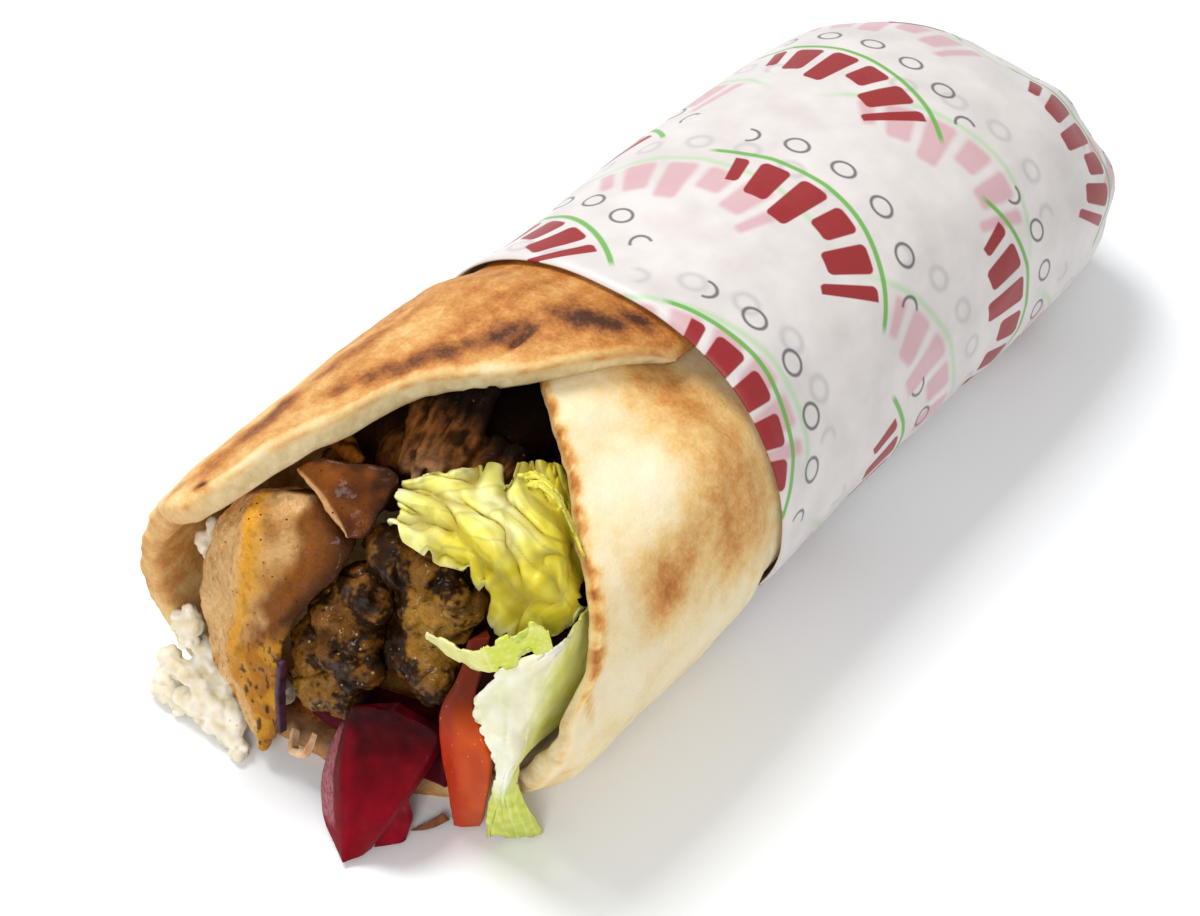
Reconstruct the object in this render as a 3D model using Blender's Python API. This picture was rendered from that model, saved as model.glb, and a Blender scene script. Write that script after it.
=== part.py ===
"""A doner kebab sandwich: a round flatbread rolled round its filling, in greaseproof paper, lying on its side.

Lengths are written in millimetres and turned into metres where a mesh is made.
The roll lies along Y. Its open mouth is at -Y and the folded end of the paper at +Y.
A place on the roll is given by its turn, in degrees round the roll from the bottom, up the left side (-X),
and by its distance y behind the bottom lip of the mouth. Pieces of the filling are placed by x, y and z,
measured from the point of the floor under the middle of the bottom lip.
"""

import math
import random

import bmesh
import bpy
from mathutils import Matrix, Vector, noise

MM = 0.001

# Driving dimensions of the roll, in millimetres
ROLL_HEIGHT = 72.5
MOUTH_HALF_WIDTH = 46.0
BREAD_THICKNESS = 5.0
THIN_FLAP_SHARE = 0.6
PAPER_THICKNESS = 0.8
PAPER_FRONT = 68.0
PAPER_END = 210.0
LEAF_THICKNESS = 0.9
GAP = 0.5

# Where the middle of the whole object's box lies, measured from the point under the bottom lip
FRAME_X = -2.65
FRAME_Y = 96.5

# The section of the roll changes along y: how far it reaches left and right, and its top and bottom
STATIONS = (-20, 0, 25, 50, 64, 78, 130, 165, 185, 198, 206, PAPER_END)
REACH_LEFT = (48, 47.5, MOUTH_HALF_WIDTH, 43.5, 41, 40, 40.5, 41, 40, 35, 28, 18)
REACH_RIGHT = (40, 41, 42, 42.5, 42, 41.5, 42, 42.5, 41, 36.5, 30, 21)
TOP = (62, 66, 70, ROLL_HEIGHT, ROLL_HEIGHT, 71, 69, 65, 59, 51, 43, 33)
BOTTOM = (0, 0, 0, 0, 0, 0, 0, 0, 0, 2, 6, 12)
FLAT_CUT = 8.0
SQUARENESS = 2.25
LOWER_RIGHT_SQUARENESS = 1.6

# The front edge of the bread: the turn, and how far behind the bottom lip the edge is there
RIGHT_FLAP_END = -189.0
LEFT_FLAP_END = 207.0
EDGE = (
    (RIGHT_FLAP_END, 58), (-185, 53), (-175, 47), (-165, 42), (-149, 35), (-135, 26), (-120, 19),
    (-112, 16), (-104, 9), (-90, 6.5), (-60, 7), (-30, 9), (-10, 1), (25, -3), (60, -4), (90, -6),
    (120, -5), (140, -6), (147, 4), (152, 12), (157, 18), (162, 28), (173, 36), (185, 44),
    (196, 54), (LEFT_FLAP_END, 61),
)

# How far the bread's lower right lip curls inwards
LIP_CURL = 3.0

# Rows of faces along the roll: where the bread meets the paper, and how many rows each has beyond that
BULGE_START = 58.0
BULGE_END = 67.3
BREAD_FRONT_ROWS = 6
BREAD_PAPER_ROWS = 8
PAPER_ROWS = 12
BREAD_COLUMNS = 44
PAPER_COLUMNS = 40


def eased(share):
    """A smooth step from 0 to 1."""
    share = min(max(share, 0.0), 1.0)
    return share * share * (3 - 2 * share)


def along(stations, values, where):
    """A smooth curve through the values at the stations."""
    where = min(max(where, stations[0]), stations[-1])
    last = len(stations) - 2
    i = 0
    while i < last and where > stations[i + 1]:
        i += 1

    def slope(k):
        low, high = max(k - 1, 0), min(k + 1, len(stations) - 1)
        return (values[high] - values[low]) / (stations[high] - stations[low])

    span = stations[i + 1] - stations[i]
    t = (where - stations[i]) / span
    start = (1 + 2 * t) * (1 - t) ** 2 * values[i] + t * (1 - t) ** 2 * span * slope(i)
    end = t * t * (3 - 2 * t) * values[i + 1] + t * t * (t - 1) * span * slope(i + 1)
    return start + end


def edge_at(turn):
    """How far behind the bottom lip the bread's front edge is at a turn."""
    for (turn_a, y_a), (turn_b, y_b) in zip(EDGE, EDGE[1:]):
        if turn <= turn_b:
            return y_a + (y_b - y_a) * (turn - turn_a) / (turn_b - turn_a)
    return EDGE[-1][1]


def middle_of(y):
    """The height of the roll's axis, and half its height, at a y."""
    top = along(STATIONS, TOP, y)
    half = (top - along(STATIONS, BOTTOM, y) + FLAT_CUT) / 2
    return top - half, half


def on_roll(turn, y, lift=0.0):
    """The point of the roll's outside at a turn and a y, raised outwards by lift."""
    angle = math.radians(turn)
    middle, half = middle_of(y)
    side, up = -math.sin(angle), -math.cos(angle)
    power = LOWER_RIGHT_SQUARENESS if side > 0 and up < 0 else SQUARENESS
    size = (abs(side) ** power + abs(up) ** power) ** (1 / power)
    side, up = side / size, up / size
    reach = along(STATIONS, REACH_LEFT if side < 0 else REACH_RIGHT, y)
    lowest = max(0.0, along(STATIONS, BOTTOM, y)) + max(0.0, -lift)
    return Vector((side * (reach + lift), y, max(middle + up * (half + lift), lowest)))


def paper_row(k):
    """The y of a row of faces of the paper, closer together towards its folded end."""
    return PAPER_FRONT + (PAPER_END - PAPER_FRONT) * (1 - (1 - k / PAPER_ROWS) ** 1.5)


def placed(point):
    """A point of the roll, in the object's frame and in metres."""
    return Vector((point[0] - FRAME_X, point[1] - FRAME_Y, point[2])) * MM


def material(name, colour, roughness):
    """A plain surface of one colour."""
    made = bpy.data.materials.get(name) or bpy.data.materials.new(name)
    made.use_nodes = True
    shader = made.node_tree.nodes["Principled BSDF"]
    shader.inputs["Base Color"].default_value = (*colour, 1.0)
    shader.inputs["Roughness"].default_value = roughness
    made.diffuse_color = (*colour, 1.0)
    return made


def add_object(name, bm, surface):
    """Puts a finished mesh into the scene as one named object."""
    mesh = bpy.data.meshes.new(name)
    bm.to_mesh(mesh)
    bm.free()
    mesh.materials.append(surface)
    mesh.shade_smooth()
    made = bpy.data.objects.new(name, mesh)
    bpy.context.scene.collection.objects.link(made)
    return made


def grid(columns, rows, place):
    """A grid of faces laid over place(column, row)."""
    bm = bmesh.new()
    bmesh.ops.create_grid(bm, x_segments=columns, y_segments=rows, size=0.5)
    for vert in bm.verts:
        column, row = round((vert.co.x + 0.5) * columns), round((vert.co.y + 0.5) * rows)
        vert.co = placed(place(column, row))
    return bm


def rounded(corners, share=0.2):
    """Cuts each corner of a closed outline, which doubles its points."""
    points = [Vector(corner) for corner in corners]
    cut = []
    for here, there in zip(points, points[1:] + points[:1]):
        cut += [here.lerp(there, share), here.lerp(there, 1 - share)]
    return cut


def loft(loops):
    """A closed body drawn through loops that have the same number of points."""
    bm = bmesh.new()
    rings = [[bm.verts.new(placed(point)) for point in loop] for loop in loops]
    bm.faces.new(reversed(rings[0]))
    bm.faces.new(rings[-1])
    edges = []
    for ring in rings:
        edges.append([bm.edges.get(pair) or bm.edges.new(pair) for pair in zip(ring, ring[1:] + ring[:1])])
    for here, there in zip(edges, edges[1:]):
        bmesh.ops.bridge_loops(bm, edges=here + there)
    bmesh.ops.recalc_face_normals(bm, faces=bm.faces)
    return bm


def slab(name, loops, surface, steps=2):
    """A cut piece of food: a rounded outline that changes smoothly from each given loop to the next."""
    stops = range(len(loops))
    drawn = []
    for k in range(steps * stops[-1] + 1):
        corners = []
        for corner in zip(*loops):
            corners.append([along(stops, [point[axis] for point in corner], k / steps) for axis in range(3)])
        drawn.append(rounded(corners))
    return add_object(name, loft(drawn), surface)


def lump(name, start, end, width, depth, craggy, seed, surface, detail=3):
    """An uneven piece between two points: a stretched ball with bumps."""
    start, end = Vector(start), Vector(end)
    axis = end - start
    pose = Matrix.Translation((start + end) / 2) @ axis.to_track_quat("Z", "Y").to_matrix().to_4x4()
    bm = bmesh.new()
    bmesh.ops.create_icosphere(bm, subdivisions=detail, radius=1.0)
    for vert in bm.verts:
        point = Vector((vert.co.x * width, vert.co.y * depth, vert.co.z * axis.length / 2))
        swell = noise.noise(point / 7.0 + Vector((seed, 0, 0)))
        swell += 0.5 * noise.noise(point / 3.5 + Vector((0, seed, 0)))
        vert.co = placed(pose @ (point * (1 + craggy * swell)))
    return add_object(name, bm, surface)


def leaf(name, rows, columns, deep, ruffle, waves, surface):
    """A thin wavy sheet through rows of points, with ruffles that grow towards its first row's edge."""
    across = range(len(rows[0]))
    down = range(len(rows))

    def place(column, row):
        u, v = column / columns * across[-1], row / deep * down[-1]
        lines = [[along(across, [point[axis] for point in line], u) for axis in range(3)] for line in rows]
        point = Vector([along(down, [line[axis] for line in lines], v) for axis in range(3)])
        share = 1.2 - row / deep
        wave = math.sin(waves * math.pi * column / columns + 2.0 * row / deep)
        return point + Vector((0, -0.6, 0.8)) * ruffle * wave * share

    bm = grid(columns, deep, place)
    bmesh.ops.triangulate(bm, faces=bm.faces)
    piece = add_object(name, bm, surface)
    wall = piece.modifiers.new("thickness", "SOLIDIFY")
    wall.thickness = LEAF_THICKNESS * MM
    wall.offset = 0
    return piece


def inner_lift(turn):
    """How far below the roll's outside the filling may reach, under both flaps of the bread."""
    under_right_flap = eased((-turn - 114) / 34)
    under_left_flap = eased((turn - 156) / 9)
    return -(BREAD_THICKNESS + PAPER_THICKNESS + 3 * GAP) - 3.9 * max(under_right_flap, under_left_flap)


def filling_loops(first_turn, last_turn, heart_x, heart_z, front, back, points):
    """The loops of one share of the filling, a sector of the roll's inside from front to back."""
    loops = []
    stops = 9
    for k in range(stops + 1):
        y = front + (back - front) * (k / stops) ** 1.3
        fullness = (0.7, 0.93)[k] if k < 2 else (0.75 if k == stops else 1.0)
        shrink = middle_of(y)[0] / middle_of(0)[0]
        loop = [Vector((heart_x, y, heart_z * shrink))]
        for i in range(points):
            turn = first_turn + (last_turn - first_turn) * i / (points - 1)
            wrapped = turn if turn <= 180 else turn - 360
            outer = on_roll(turn, y, inner_lift(wrapped))
            loop.append(outer)
        heart = sum(loop, Vector()) / len(loop)
        loops.append([heart + (point - heart) * 0.985 * fullness for point in loop])
    return loops


def make_bread():
    """The flatbread: one round sheet rolled so that its left flap lies over its thinner right flap."""
    crust = material("browned_flatbread", (0.80, 0.58, 0.31), 0.7)
    rows = BREAD_FRONT_ROWS + BREAD_PAPER_ROWS

    def row_y(start, row):
        bulge = max(BULGE_START, (start + BULGE_END) / 2)
        stops = [start + (bulge - start) * k / (BREAD_FRONT_ROWS - 2) for k in range(BREAD_FRONT_ROWS - 1)]
        stops += [(bulge + BULGE_END) / 2, BULGE_END]
        return stops[row] if row <= BREAD_FRONT_ROWS else paper_row(row - BREAD_FRONT_ROWS)

    def place(column, row):
        turn = RIGHT_FLAP_END + (LEFT_FLAP_END - RIGHT_FLAP_END) * column / BREAD_COLUMNS
        y = row_y(edge_at(turn), row)
        squeezed = eased((y - BULGE_START) / (BULGE_END - BULGE_START))
        tucked = eased((-turn - 122) / 30)
        lift = 0.4 - squeezed * (PAPER_THICKNESS + GAP + 0.4) - tucked * (BREAD_THICKNESS + GAP)
        lift -= LIP_CURL * eased((-turn - 20) / 20) * eased((turn + 100) / 20) * eased((15 - y) / 8)
        return on_roll(turn, y, lift)

    bread = add_object("flatbread", grid(BREAD_COLUMNS, rows, place), crust)
    thin = bread.vertex_groups.new(name="thickness")
    for vert in bread.data.vertices:
        column = vert.index % (BREAD_COLUMNS + 1)
        turn = RIGHT_FLAP_END + (LEFT_FLAP_END - RIGHT_FLAP_END) * column / BREAD_COLUMNS
        share = THIN_FLAP_SHARE + (1 - THIN_FLAP_SHARE) * eased((turn + 115) / 35)
        thin.add([vert.index], share, "REPLACE")
    wall = bread.modifiers.new("thickness", "SOLIDIFY")
    wall.thickness = BREAD_THICKNESS * MM
    wall.offset = -1
    wall.vertex_group = thin.name
    return bread


def make_paper():
    """The greaseproof paper: a tube round the bread with its far end folded in."""
    sheet = material("greaseproof_paper", (0.93, 0.91, 0.90), 0.55)

    def place(column, row):
        turn = 360.0 * column / PAPER_COLUMNS - 180.0
        y = paper_row(row)
        if row == 0:
            y += math.sin(math.radians(2 * turn + 40))
        return on_roll(turn, y)

    bm = grid(PAPER_COLUMNS, PAPER_ROWS, place)
    bmesh.ops.remove_doubles(bm, verts=bm.verts, dist=0.01 * MM)
    last = max(vert.co.y for vert in bm.verts)
    rim = [e for e in bm.edges if e.is_boundary and min(v.co.y for v in e.verts) > last - MM]
    bmesh.ops.edgeloop_fill(bm, edges=rim)
    bmesh.ops.recalc_face_normals(bm, faces=bm.faces)
    paper = add_object("paper_wrap", bm, sheet)
    wall = paper.modifiers.new("thickness", "SOLIDIFY")
    wall.thickness = PAPER_THICKNESS * MM
    wall.offset = -1
    return paper


def make_long_fillings():
    """The meat, salad, beetroot and cheese that run through the roll behind the pieces in its mouth."""
    meat = material("roast_chicken_dark", (0.30, 0.16, 0.07), 0.5)
    green = material("lettuce_green", (0.62, 0.68, 0.25), 0.45)
    beet = material("beetroot", (0.36, 0.01, 0.05), 0.3)
    shares = (
        ("chicken_filling", 63, 192, -3, 30, 33, meat, 9),
        ("lettuce_filling", -167, -57, 6, 29, 42, green, 8),
        ("beetroot_filling", -55, 8, 4, 16, 16, beet, 5),
    )
    back = paper_row(BREAD_PAPER_ROWS) - 4
    for name, first, last, heart_x, heart_z, front, surface, points in shares:
        loops = filling_loops(first, last, heart_x, heart_z, front, back, points)
        add_object(name, loft(loops), surface)


def crumb(centre, size, seed):
    """One crumb of cheese, with few sides."""
    bm = bmesh.new()
    bmesh.ops.create_icosphere(bm, subdivisions=1, radius=1.0)
    for vert in bm.verts:
        reach = size * (1 + 0.35 * noise.noise(vert.co * 1.7 + Vector((seed, 0, 0))))
        vert.co = placed(Vector(centre) + vert.co * reach)
    return bm


def fused(core, crumbs):
    """Joins crumbs to a core with one union, and removes them."""
    heap = bpy.data.collections.new(core.name + "_pieces")
    for k, (centre, size) in enumerate(crumbs):
        piece = add_object("crumb_%d" % k, crumb(centre, size, k), core.data.materials[0])
        bpy.context.scene.collection.objects.unlink(piece)
        heap.objects.link(piece)
    bpy.context.scene.collection.children.link(heap)
    union = core.modifiers.new("crumbs", "BOOLEAN")
    union.operation = "UNION"
    union.operand_type = "COLLECTION"
    union.collection = heap
    evaluated = core.evaluated_get(bpy.context.evaluated_depsgraph_get())
    joined = bpy.data.meshes.new_from_object(evaluated)
    core.modifiers.clear()
    core.data = joined
    for piece in list(heap.objects):
        bpy.data.objects.remove(piece, do_unlink=True)
    bpy.data.collections.remove(heap)
    return core


def bed_height(x):
    """How high the bread's inside is at the left of the mouth, at an x."""
    turn = 0
    while turn < 90 and on_roll(turn, 0, -BREAD_THICKNESS - GAP).x > x:
        turn += 1
    return on_roll(turn, 0, -BREAD_THICKNESS - GAP).z


def make_cheese():
    """Crumbled white cheese: a heap in the bottom left of the roll that spills out over the lip."""
    white = material("crumbled_white_cheese", (0.88, 0.85, 0.72), 0.6)
    back = paper_row(BREAD_PAPER_ROWS) - 4
    core = add_object("cheese_crumbs", loft(filling_loops(14, 60, -12, 14, 3, back, 5)), white)
    draw = random.Random(5)
    crumbs = []
    # Five rows of crumbs from inside the roll, over the lip and down to the floor
    for x in (-34.4, -31.5, -28.5, -25, -22):
        crumbs.append(((x, 0.4, bed_height(x) + 4.0), 3.2 + draw.uniform(-0.2, 0.2)))
    for x in (-35.5, -33, -30.5):
        crumbs.append(((x, -4.2, bed_height(x) + 3.9), 2.8 + draw.uniform(-0.1, 0.1)))
    for x in (-41, -38.5, -36, -33, -30.2, -27.5):
        height = min(bed_height(x) + 1.2, 11.5)
        crumbs.append(((x, -8.1 + draw.uniform(-0.5, 0.0), height), 2.9 + draw.uniform(-0.4, 0.2)))
    for x in (-43, -40.5, -37.5, -34.5, -31.5, -28.5, -25.8):
        crumbs.append(((x, -8.8 + draw.uniform(-0.6, 0.4), 5 + draw.uniform(-0.8, 0.6)), 2.7))
    for x in (-44.5, -41.5, -38.5, -36, -33, -30, -27, -24.8, -22.6):
        crumbs.append(((x, -9.6 + draw.uniform(-1.2, 1.0), 2.5), 2.0 + draw.uniform(-0.3, 0.2)))
    fused(core, crumbs)
    high = add_object("cheese_crumb_high", crumb((-37.5, 2.5, 37), 2.6, 40), white)
    fused(high, [((-36.6, 2.4, 33.8), 1.8), ((-37.2, 3.6, 40.2), 1.7)])
    side = add_object("cheese_crumb_side", crumb((-38.2, -5.2, 21.2), 3.0, 50), white)
    fused(side, [((-37.2, -6.4, 18.4), 2.2), ((-38, -4.4, 23.8), 1.8)])


def make_chicken_slices():
    """The sliced chicken in the left of the mouth."""
    roast = material("roast_chicken_slice", (0.70, 0.42, 0.20), 0.4)
    # Each loop: the cut face's outer corner, the browned edge, the broad face's far corner, the back
    slab("chicken_slice_front", [
        [(-30, 4, 52), (-25, 4, 54.5), (-15, 12, 55), (-24, 13, 51)],
        [(-34, 1, 45.4), (-22.6, -1.8, 54), (-9, 11, 51.5), (-22, 14, 45)],
        [(-37, -1, 35), (-21.3, -4, 48), (-5.4, 7.5, 50.8), (-18, 12, 41)],
        [(-36.4, -3, 26.5), (-21.9, -5.5, 38.9), (-6.4, 3, 47), (-18, 7, 36)],
        [(-34, -5, 19.2), (-24, -7, 28.6), (-11, -2, 40), (-19, 1, 31)],
        [(-31.6, -6.5, 15.6), (-24.5, -8, 21.8), (-12.7, -5, 34.2), (-20, -2, 25)],
        [(-26.9, -7.5, 14), (-20.5, -9, 18.5), (-12.6, -6, 28.5), (-18.5, -4.5, 19)],
        [(-24, -8, 9.6), (-18, -9.5, 12.6), (-13.4, -7, 20), (-17.5, -5.5, 12.5)],
        [(-19.5, -8.6, 5), (-17.6, -9.5, 5.2), (-15, -8, 9.4), (-17, -7, 6.6)],
    ], roast)
    slab("chicken_slice_back", [
        [(-21.5, 11, 58), (-18, 14, 60.5), (-17.6, 16.6, 58.2), (-22.2, 13.6, 56.2)],
        [(-15.4, 8.8, 57.6), (-6, 18, 62), (-7.2, 20, 58.8), (-16.8, 10.8, 55.2)],
        [(-10.4, 7.6, 56), (-3.8, 15, 60), (-5.4, 17, 57), (-11.8, 9.6, 53.6)],
        [(-7, 6.8, 54.4), (-4.2, 9.6, 54.4), (-5.2, 10.8, 53), (-8, 8.2, 53)],
    ], roast)


def make_meat_chunks():
    """The dark herb-crusted pieces in the middle of the mouth."""
    crusted = material("herb_crusted_meat", (0.20, 0.11, 0.05), 0.35)
    lump("meat_chunk_left", (-5.2, 6.5, 44.5), (-8.5, -0.5, 15), 7.4, 6.6, 0.14, 3, crusted)
    lump("meat_chunk_right", (2.5, 16, 53), (9.5, 8, 26), 8.6, 7.6, 0.16, 8, crusted)


def make_salad():
    """The lettuce leaves, the tomato wedge and the slices of beetroot."""
    yellow = material("lettuce_yellow", (0.85, 0.80, 0.18), 0.4)
    pale = material("lettuce_pale", (0.80, 0.86, 0.50), 0.4)
    leaf("lettuce_leaf_yellow", [
        [(-3, 13, 55), (4, 11, 56), (10, 11, 55.5), (15.5, 12, 56), (17.5, 13, 48), (21.5, 13, 43.5),
         (26.5, 15, 44.5), (30.5, 18, 47), (32, 22, 49)],
        [(-2, 14, 58), (4, 12.5, 61), (11, 12, 62.5), (17.5, 12, 63.5), (23.5, 11, 62), (28, 12, 60.5),
         (31.5, 15, 59.5), (32, 18, 57), (30.5, 24, 50.5)],
        [(-3, 17, 59), (3.5, 16, 62.5), (10.5, 15, 65), (17.5, 14, 66), (22.5, 15, 66), (26, 17, 64),
         (28, 21, 61), (27, 25, 55), (27, 28, 52)],
        [(-5, 20, 57.5), (1, 20, 62), (6.5, 21, 63.5), (10.5, 22, 63), (15, 23, 63), (18.5, 25, 62),
         (21.5, 28, 60), (21.5, 31, 56.5), (22.5, 33, 54)],
        [(-6.5, 22, 55), (-2, 23, 59), (3.5, 25, 62), (5.5, 29, 62), (9, 32, 61.5), (10.5, 35, 61),
         (13, 37, 60.5), (15, 38, 59.5), (19, 37, 56)],
    ], 28, 12, 0.9, 9, yellow)
    leaf("lettuce_leaf_pale", [
        [(34.6, 12, 50), (34.6, 14, 51), (33.8, 16.5, 51), (32.5, 19.5, 50)],
        [(29, 5, 48.5), (33.5, 9, 49.5), (34, 14, 48), (32.6, 21, 44)],
        [(25.5, 1, 40), (31, 5, 43), (34.4, 12, 41), (34.4, 20, 37)],
        [(28, 0, 35.5), (32, 3, 37), (33.8, 9, 34.5), (33.6, 16, 32.5)],
        [(30.5, -0.5, 31.5), (33, 2, 32.5), (33, 7, 31), (32.4, 12, 27)],
        [(30.5, 0, 24.5), (32, 0.5, 24.5), (32.6, 2, 25.5), (32, 5, 27)],
        [(28, 1, 15.5), (30, 1.5, 16), (31.5, 2.5, 16.5), (32.4, 4, 18)],
        [(25, 2.5, 1), (28, 5, 1), (31, 7.5, 1), (32.5, 10, 1)],
    ], 6, 21, 0.0, 3, pale)
    leaf("lettuce_shred", [
        [(13, 4, 45), (19, 3, 46), (25.5, 3, 48), (29.5, 5, 50), (32.5, 8, 53), (35, 10.5, 52.5)],
        [(12.5, 4, 46.5), (18, 3, 49), (24, 2.5, 50), (29, 4, 53.5), (33, 7, 58.5), (35, 10, 56.5)],
    ], 14, 2, 0.0, 3, pale)
    tomato = material("tomato_flesh", (0.80, 0.12, 0.04), 0.3)
    slab("tomato_wedge", [
        [(18.7, 0.8, 1.1), (20.6, 1.4, 1.1), (23.2, 3.7, 1.1), (20.7, 6.4, 1.1)],
        [(18.6, 0, 10.7), (21.7, 0, 12.7), (28.1, 1, 17.4), (23.5, 6, 15.1)],
        [(17.8, 0, 20), (21.8, -0.5, 23.7), (29, 1, 28.2), (23.9, 6.5, 23.8)],
        [(16.6, 1, 26.4), (20.2, 1, 29.1), (26, 2, 31.7), (21.1, 7.5, 28.8)],
        [(16.3, 2.5, 31.2), (19.2, 2.5, 34.1), (22.8, 4, 34.6), (20.1, 8, 34.3)],
        [(18.1, 5, 37.6), (19.8, 5, 39.6), (22.7, 7, 41.4), (19.6, 10.5, 39.3)],
        [(18.4, 8, 44.4), (19.5, 8, 45.6), (22.4, 9.5, 46.6), (19.1, 12.4, 44.4)],
    ], tomato)
    beet = material("beetroot", (0.36, 0.01, 0.05), 0.3)
    # Each loop: the ridge between cut edge and face, the face's far corner, behind it, the cut edge's left corner
    slab("beetroot_slice_front", [
        [(1, -3.5, 25), (8, -1, 27), (8, 1.5, 27), (-1.6, -1.5, 21)],
        [(0.3, -5, 21), (15, 2, 23.4), (15, 4.4, 22.4), (-4.6, -2.5, 14.4)],
        [(1.5, -8, 15.2), (15, 0.4, 18.6), (15, 3.6, 18.4), (-5.6, -6.2, 5.6)],
        [(4.4, -11.5, 9.7), (15.4, -5.4, 15.6), (15.4, -2, 15), (-3.4, -10, 2.6)],
        [(6.6, -14.2, 5.7), (14.4, -10.4, 11), (14.4, -7.4, 10), (-0.4, -12.6, 1.2)],
        [(9, -17.5, 1.3), (10.8, -14, 1.5), (11, -12, 1.4), (4.8, -15.1, 1.2)],
    ], beet)
    slab("beetroot_slice_back", [
        [(-11, 1, 8), (-11, 1, 12.5), (-10, 9, 12.5), (-10, 9, 8)],
        [(0, 0.5, 7), (0, 2, 13), (0, 12, 13), (0, 12, 7)],
        [(15.5, 2.5, 6.5), (15.5, 3, 17), (15.5, 12, 16), (15.5, 12, 6.5)],
    ], beet)


def make_small_pieces():
    """The strip of red onion, the curl of pale onion and the crisp sliver by the bottom lip."""
    onion = material("red_onion", (0.25, 0.05, 0.14), 0.35)
    pickled = material("pickled_onion", (0.85, 0.55, 0.30), 0.35)
    crisp = material("crisp_sliver", (0.55, 0.28, 0.08), 0.5)
    slab("onion_strip", [
        [(-13, -7.2, 30), (-11.8, -7.2, 30), (-11.8, -5.4, 30), (-13, -5.4, 30)],
        [(-13.8, -8, 21), (-12.6, -8.4, 21), (-12.2, -6.6, 21), (-13.4, -6.2, 21)],
        [(-14.6, -8, 11), (-13.4, -8.2, 11), (-13.2, -6.6, 11), (-14.2, -6.4, 11)],
    ], onion)
    slab("onion_curl", [
        [(-14, -4.6, 9.2), (-14, -5.6, 8.2), (-13.2, -4.4, 6.6), (-13.2, -3.6, 7.6)],
        [(-12, -7.2, 7.8), (-12, -8.2, 6.8), (-11.2, -7, 5.2), (-11.2, -6, 6.2)],
        [(-8.6, -7, 10.2), (-8.6, -8, 9.2), (-8, -7, 7.6), (-8, -6, 8.6)],
        [(-8.4, -5, 12.4), (-8.4, -5.8, 11.4), (-7.8, -5, 10.4), (-7.8, -4.4, 11.4)],
    ], pickled)
    slab("crisp_sliver", [
        [(13.6, -4.4, 1.2), (14.1, -4.2, 1.1), (14.1, -4.1, 0.7), (13.6, -4.3, 0.7)],
        [(15.2, -2.4, 2.4), (16.6, -2.0, 1.6), (16.4, -1.6, 0.8), (15, -2.0, 1.6)],
        [(16.6, 0.6, 3.2), (18, 0.8, 2.2), (17.8, 1.2, 1.4), (16.4, 1.0, 2.4)],
    ], crisp)


def main():
    for old in list(bpy.data.objects):
        bpy.data.objects.remove(old, do_unlink=True)
    make_bread()
    make_paper()
    make_long_fillings()
    make_cheese()
    make_chicken_slices()
    make_meat_chunks()
    make_salad()
    make_small_pieces()


main()
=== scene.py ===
# %% [markdown]
# A doner kebab sandwich lies on its side. A round flatbread is rolled round meat, salad and crumbled cheese,
# and greaseproof paper holds the roll from its middle to its folded far end. The part's solids are packed
# already. This lesson loads them and gives every one its finish: the grain of the bread, the print on the
# paper, the gloss of the meat and the veins of the lettuce.

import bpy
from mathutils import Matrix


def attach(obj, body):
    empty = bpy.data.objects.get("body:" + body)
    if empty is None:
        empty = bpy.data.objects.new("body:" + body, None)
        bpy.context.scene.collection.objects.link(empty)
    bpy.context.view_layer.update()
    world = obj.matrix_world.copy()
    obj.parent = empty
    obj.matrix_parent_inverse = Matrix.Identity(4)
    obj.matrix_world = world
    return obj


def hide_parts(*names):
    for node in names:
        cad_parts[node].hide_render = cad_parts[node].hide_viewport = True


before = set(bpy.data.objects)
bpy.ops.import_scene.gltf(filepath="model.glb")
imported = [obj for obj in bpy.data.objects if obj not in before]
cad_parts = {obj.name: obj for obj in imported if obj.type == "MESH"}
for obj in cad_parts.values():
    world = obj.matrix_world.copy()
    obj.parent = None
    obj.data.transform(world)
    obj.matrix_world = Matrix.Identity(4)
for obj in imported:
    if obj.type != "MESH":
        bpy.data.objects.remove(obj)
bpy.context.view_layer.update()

# %% The modules that the next cells use
import math
import random

import bmesh
import bpy
from mathutils import Matrix, Vector, noise

# %% [markdown]
# Food is easier to think of in millimetres, so every length below is in millimetres, and one function turns
# a point of the roll into metres in the part's own frame. There y is 0 at the bread's bottom lip and grows
# towards the paper end, x grows to the right of the mouth, and z is the height above the floor.

# %% Units and the part's frame
MM = 0.001
FRAME_X = -2.65
FRAME_Y = 96.5


def placed(point):
    """A point of the roll, in the part's frame and in metres."""
    return Vector((point[0] - FRAME_X, point[1] - FRAME_Y, point[2])) * MM


def unplaced(point):
    """A point of the part's frame, back in millimetres on the roll."""
    return Vector(point) / MM + Vector((FRAME_X, FRAME_Y, 0))


# %% [markdown]
# The roll isn't a cylinder: it bulges at the mouth, has a flat underside where it rests, and narrows at its
# far end. Its outside is one formula, a rounded box in section whose reach and height change along its length.
# The bread, the paper and the filling are all measured from this one surface, so they never cut through each
# other.

# %% The outside of the roll
STATIONS = (-20, 0, 25, 50, 64, 78, 130, 165, 185, 198, 206, 210)
REACH_LEFT = (48, 47.5, 46, 43.5, 41, 40, 40.5, 41, 40, 35, 28, 18)
REACH_RIGHT = (40, 41, 42, 42.5, 42, 41.5, 42, 42.5, 41, 36.5, 30, 21)
TOP = (62, 66, 70, 72.5, 72.5, 71, 69, 65, 59, 51, 43, 33)
BOTTOM = (0, 0, 0, 0, 0, 0, 0, 0, 0, 2, 6, 12)
FLAT_CUT = 8.0
SQUARENESS = 2.25
LOWER_RIGHT_SQUARENESS = 1.6


def eased(share):
    """A smooth step from 0 to 1."""
    share = min(max(share, 0.0), 1.0)
    return share * share * (3 - 2 * share)


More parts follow.
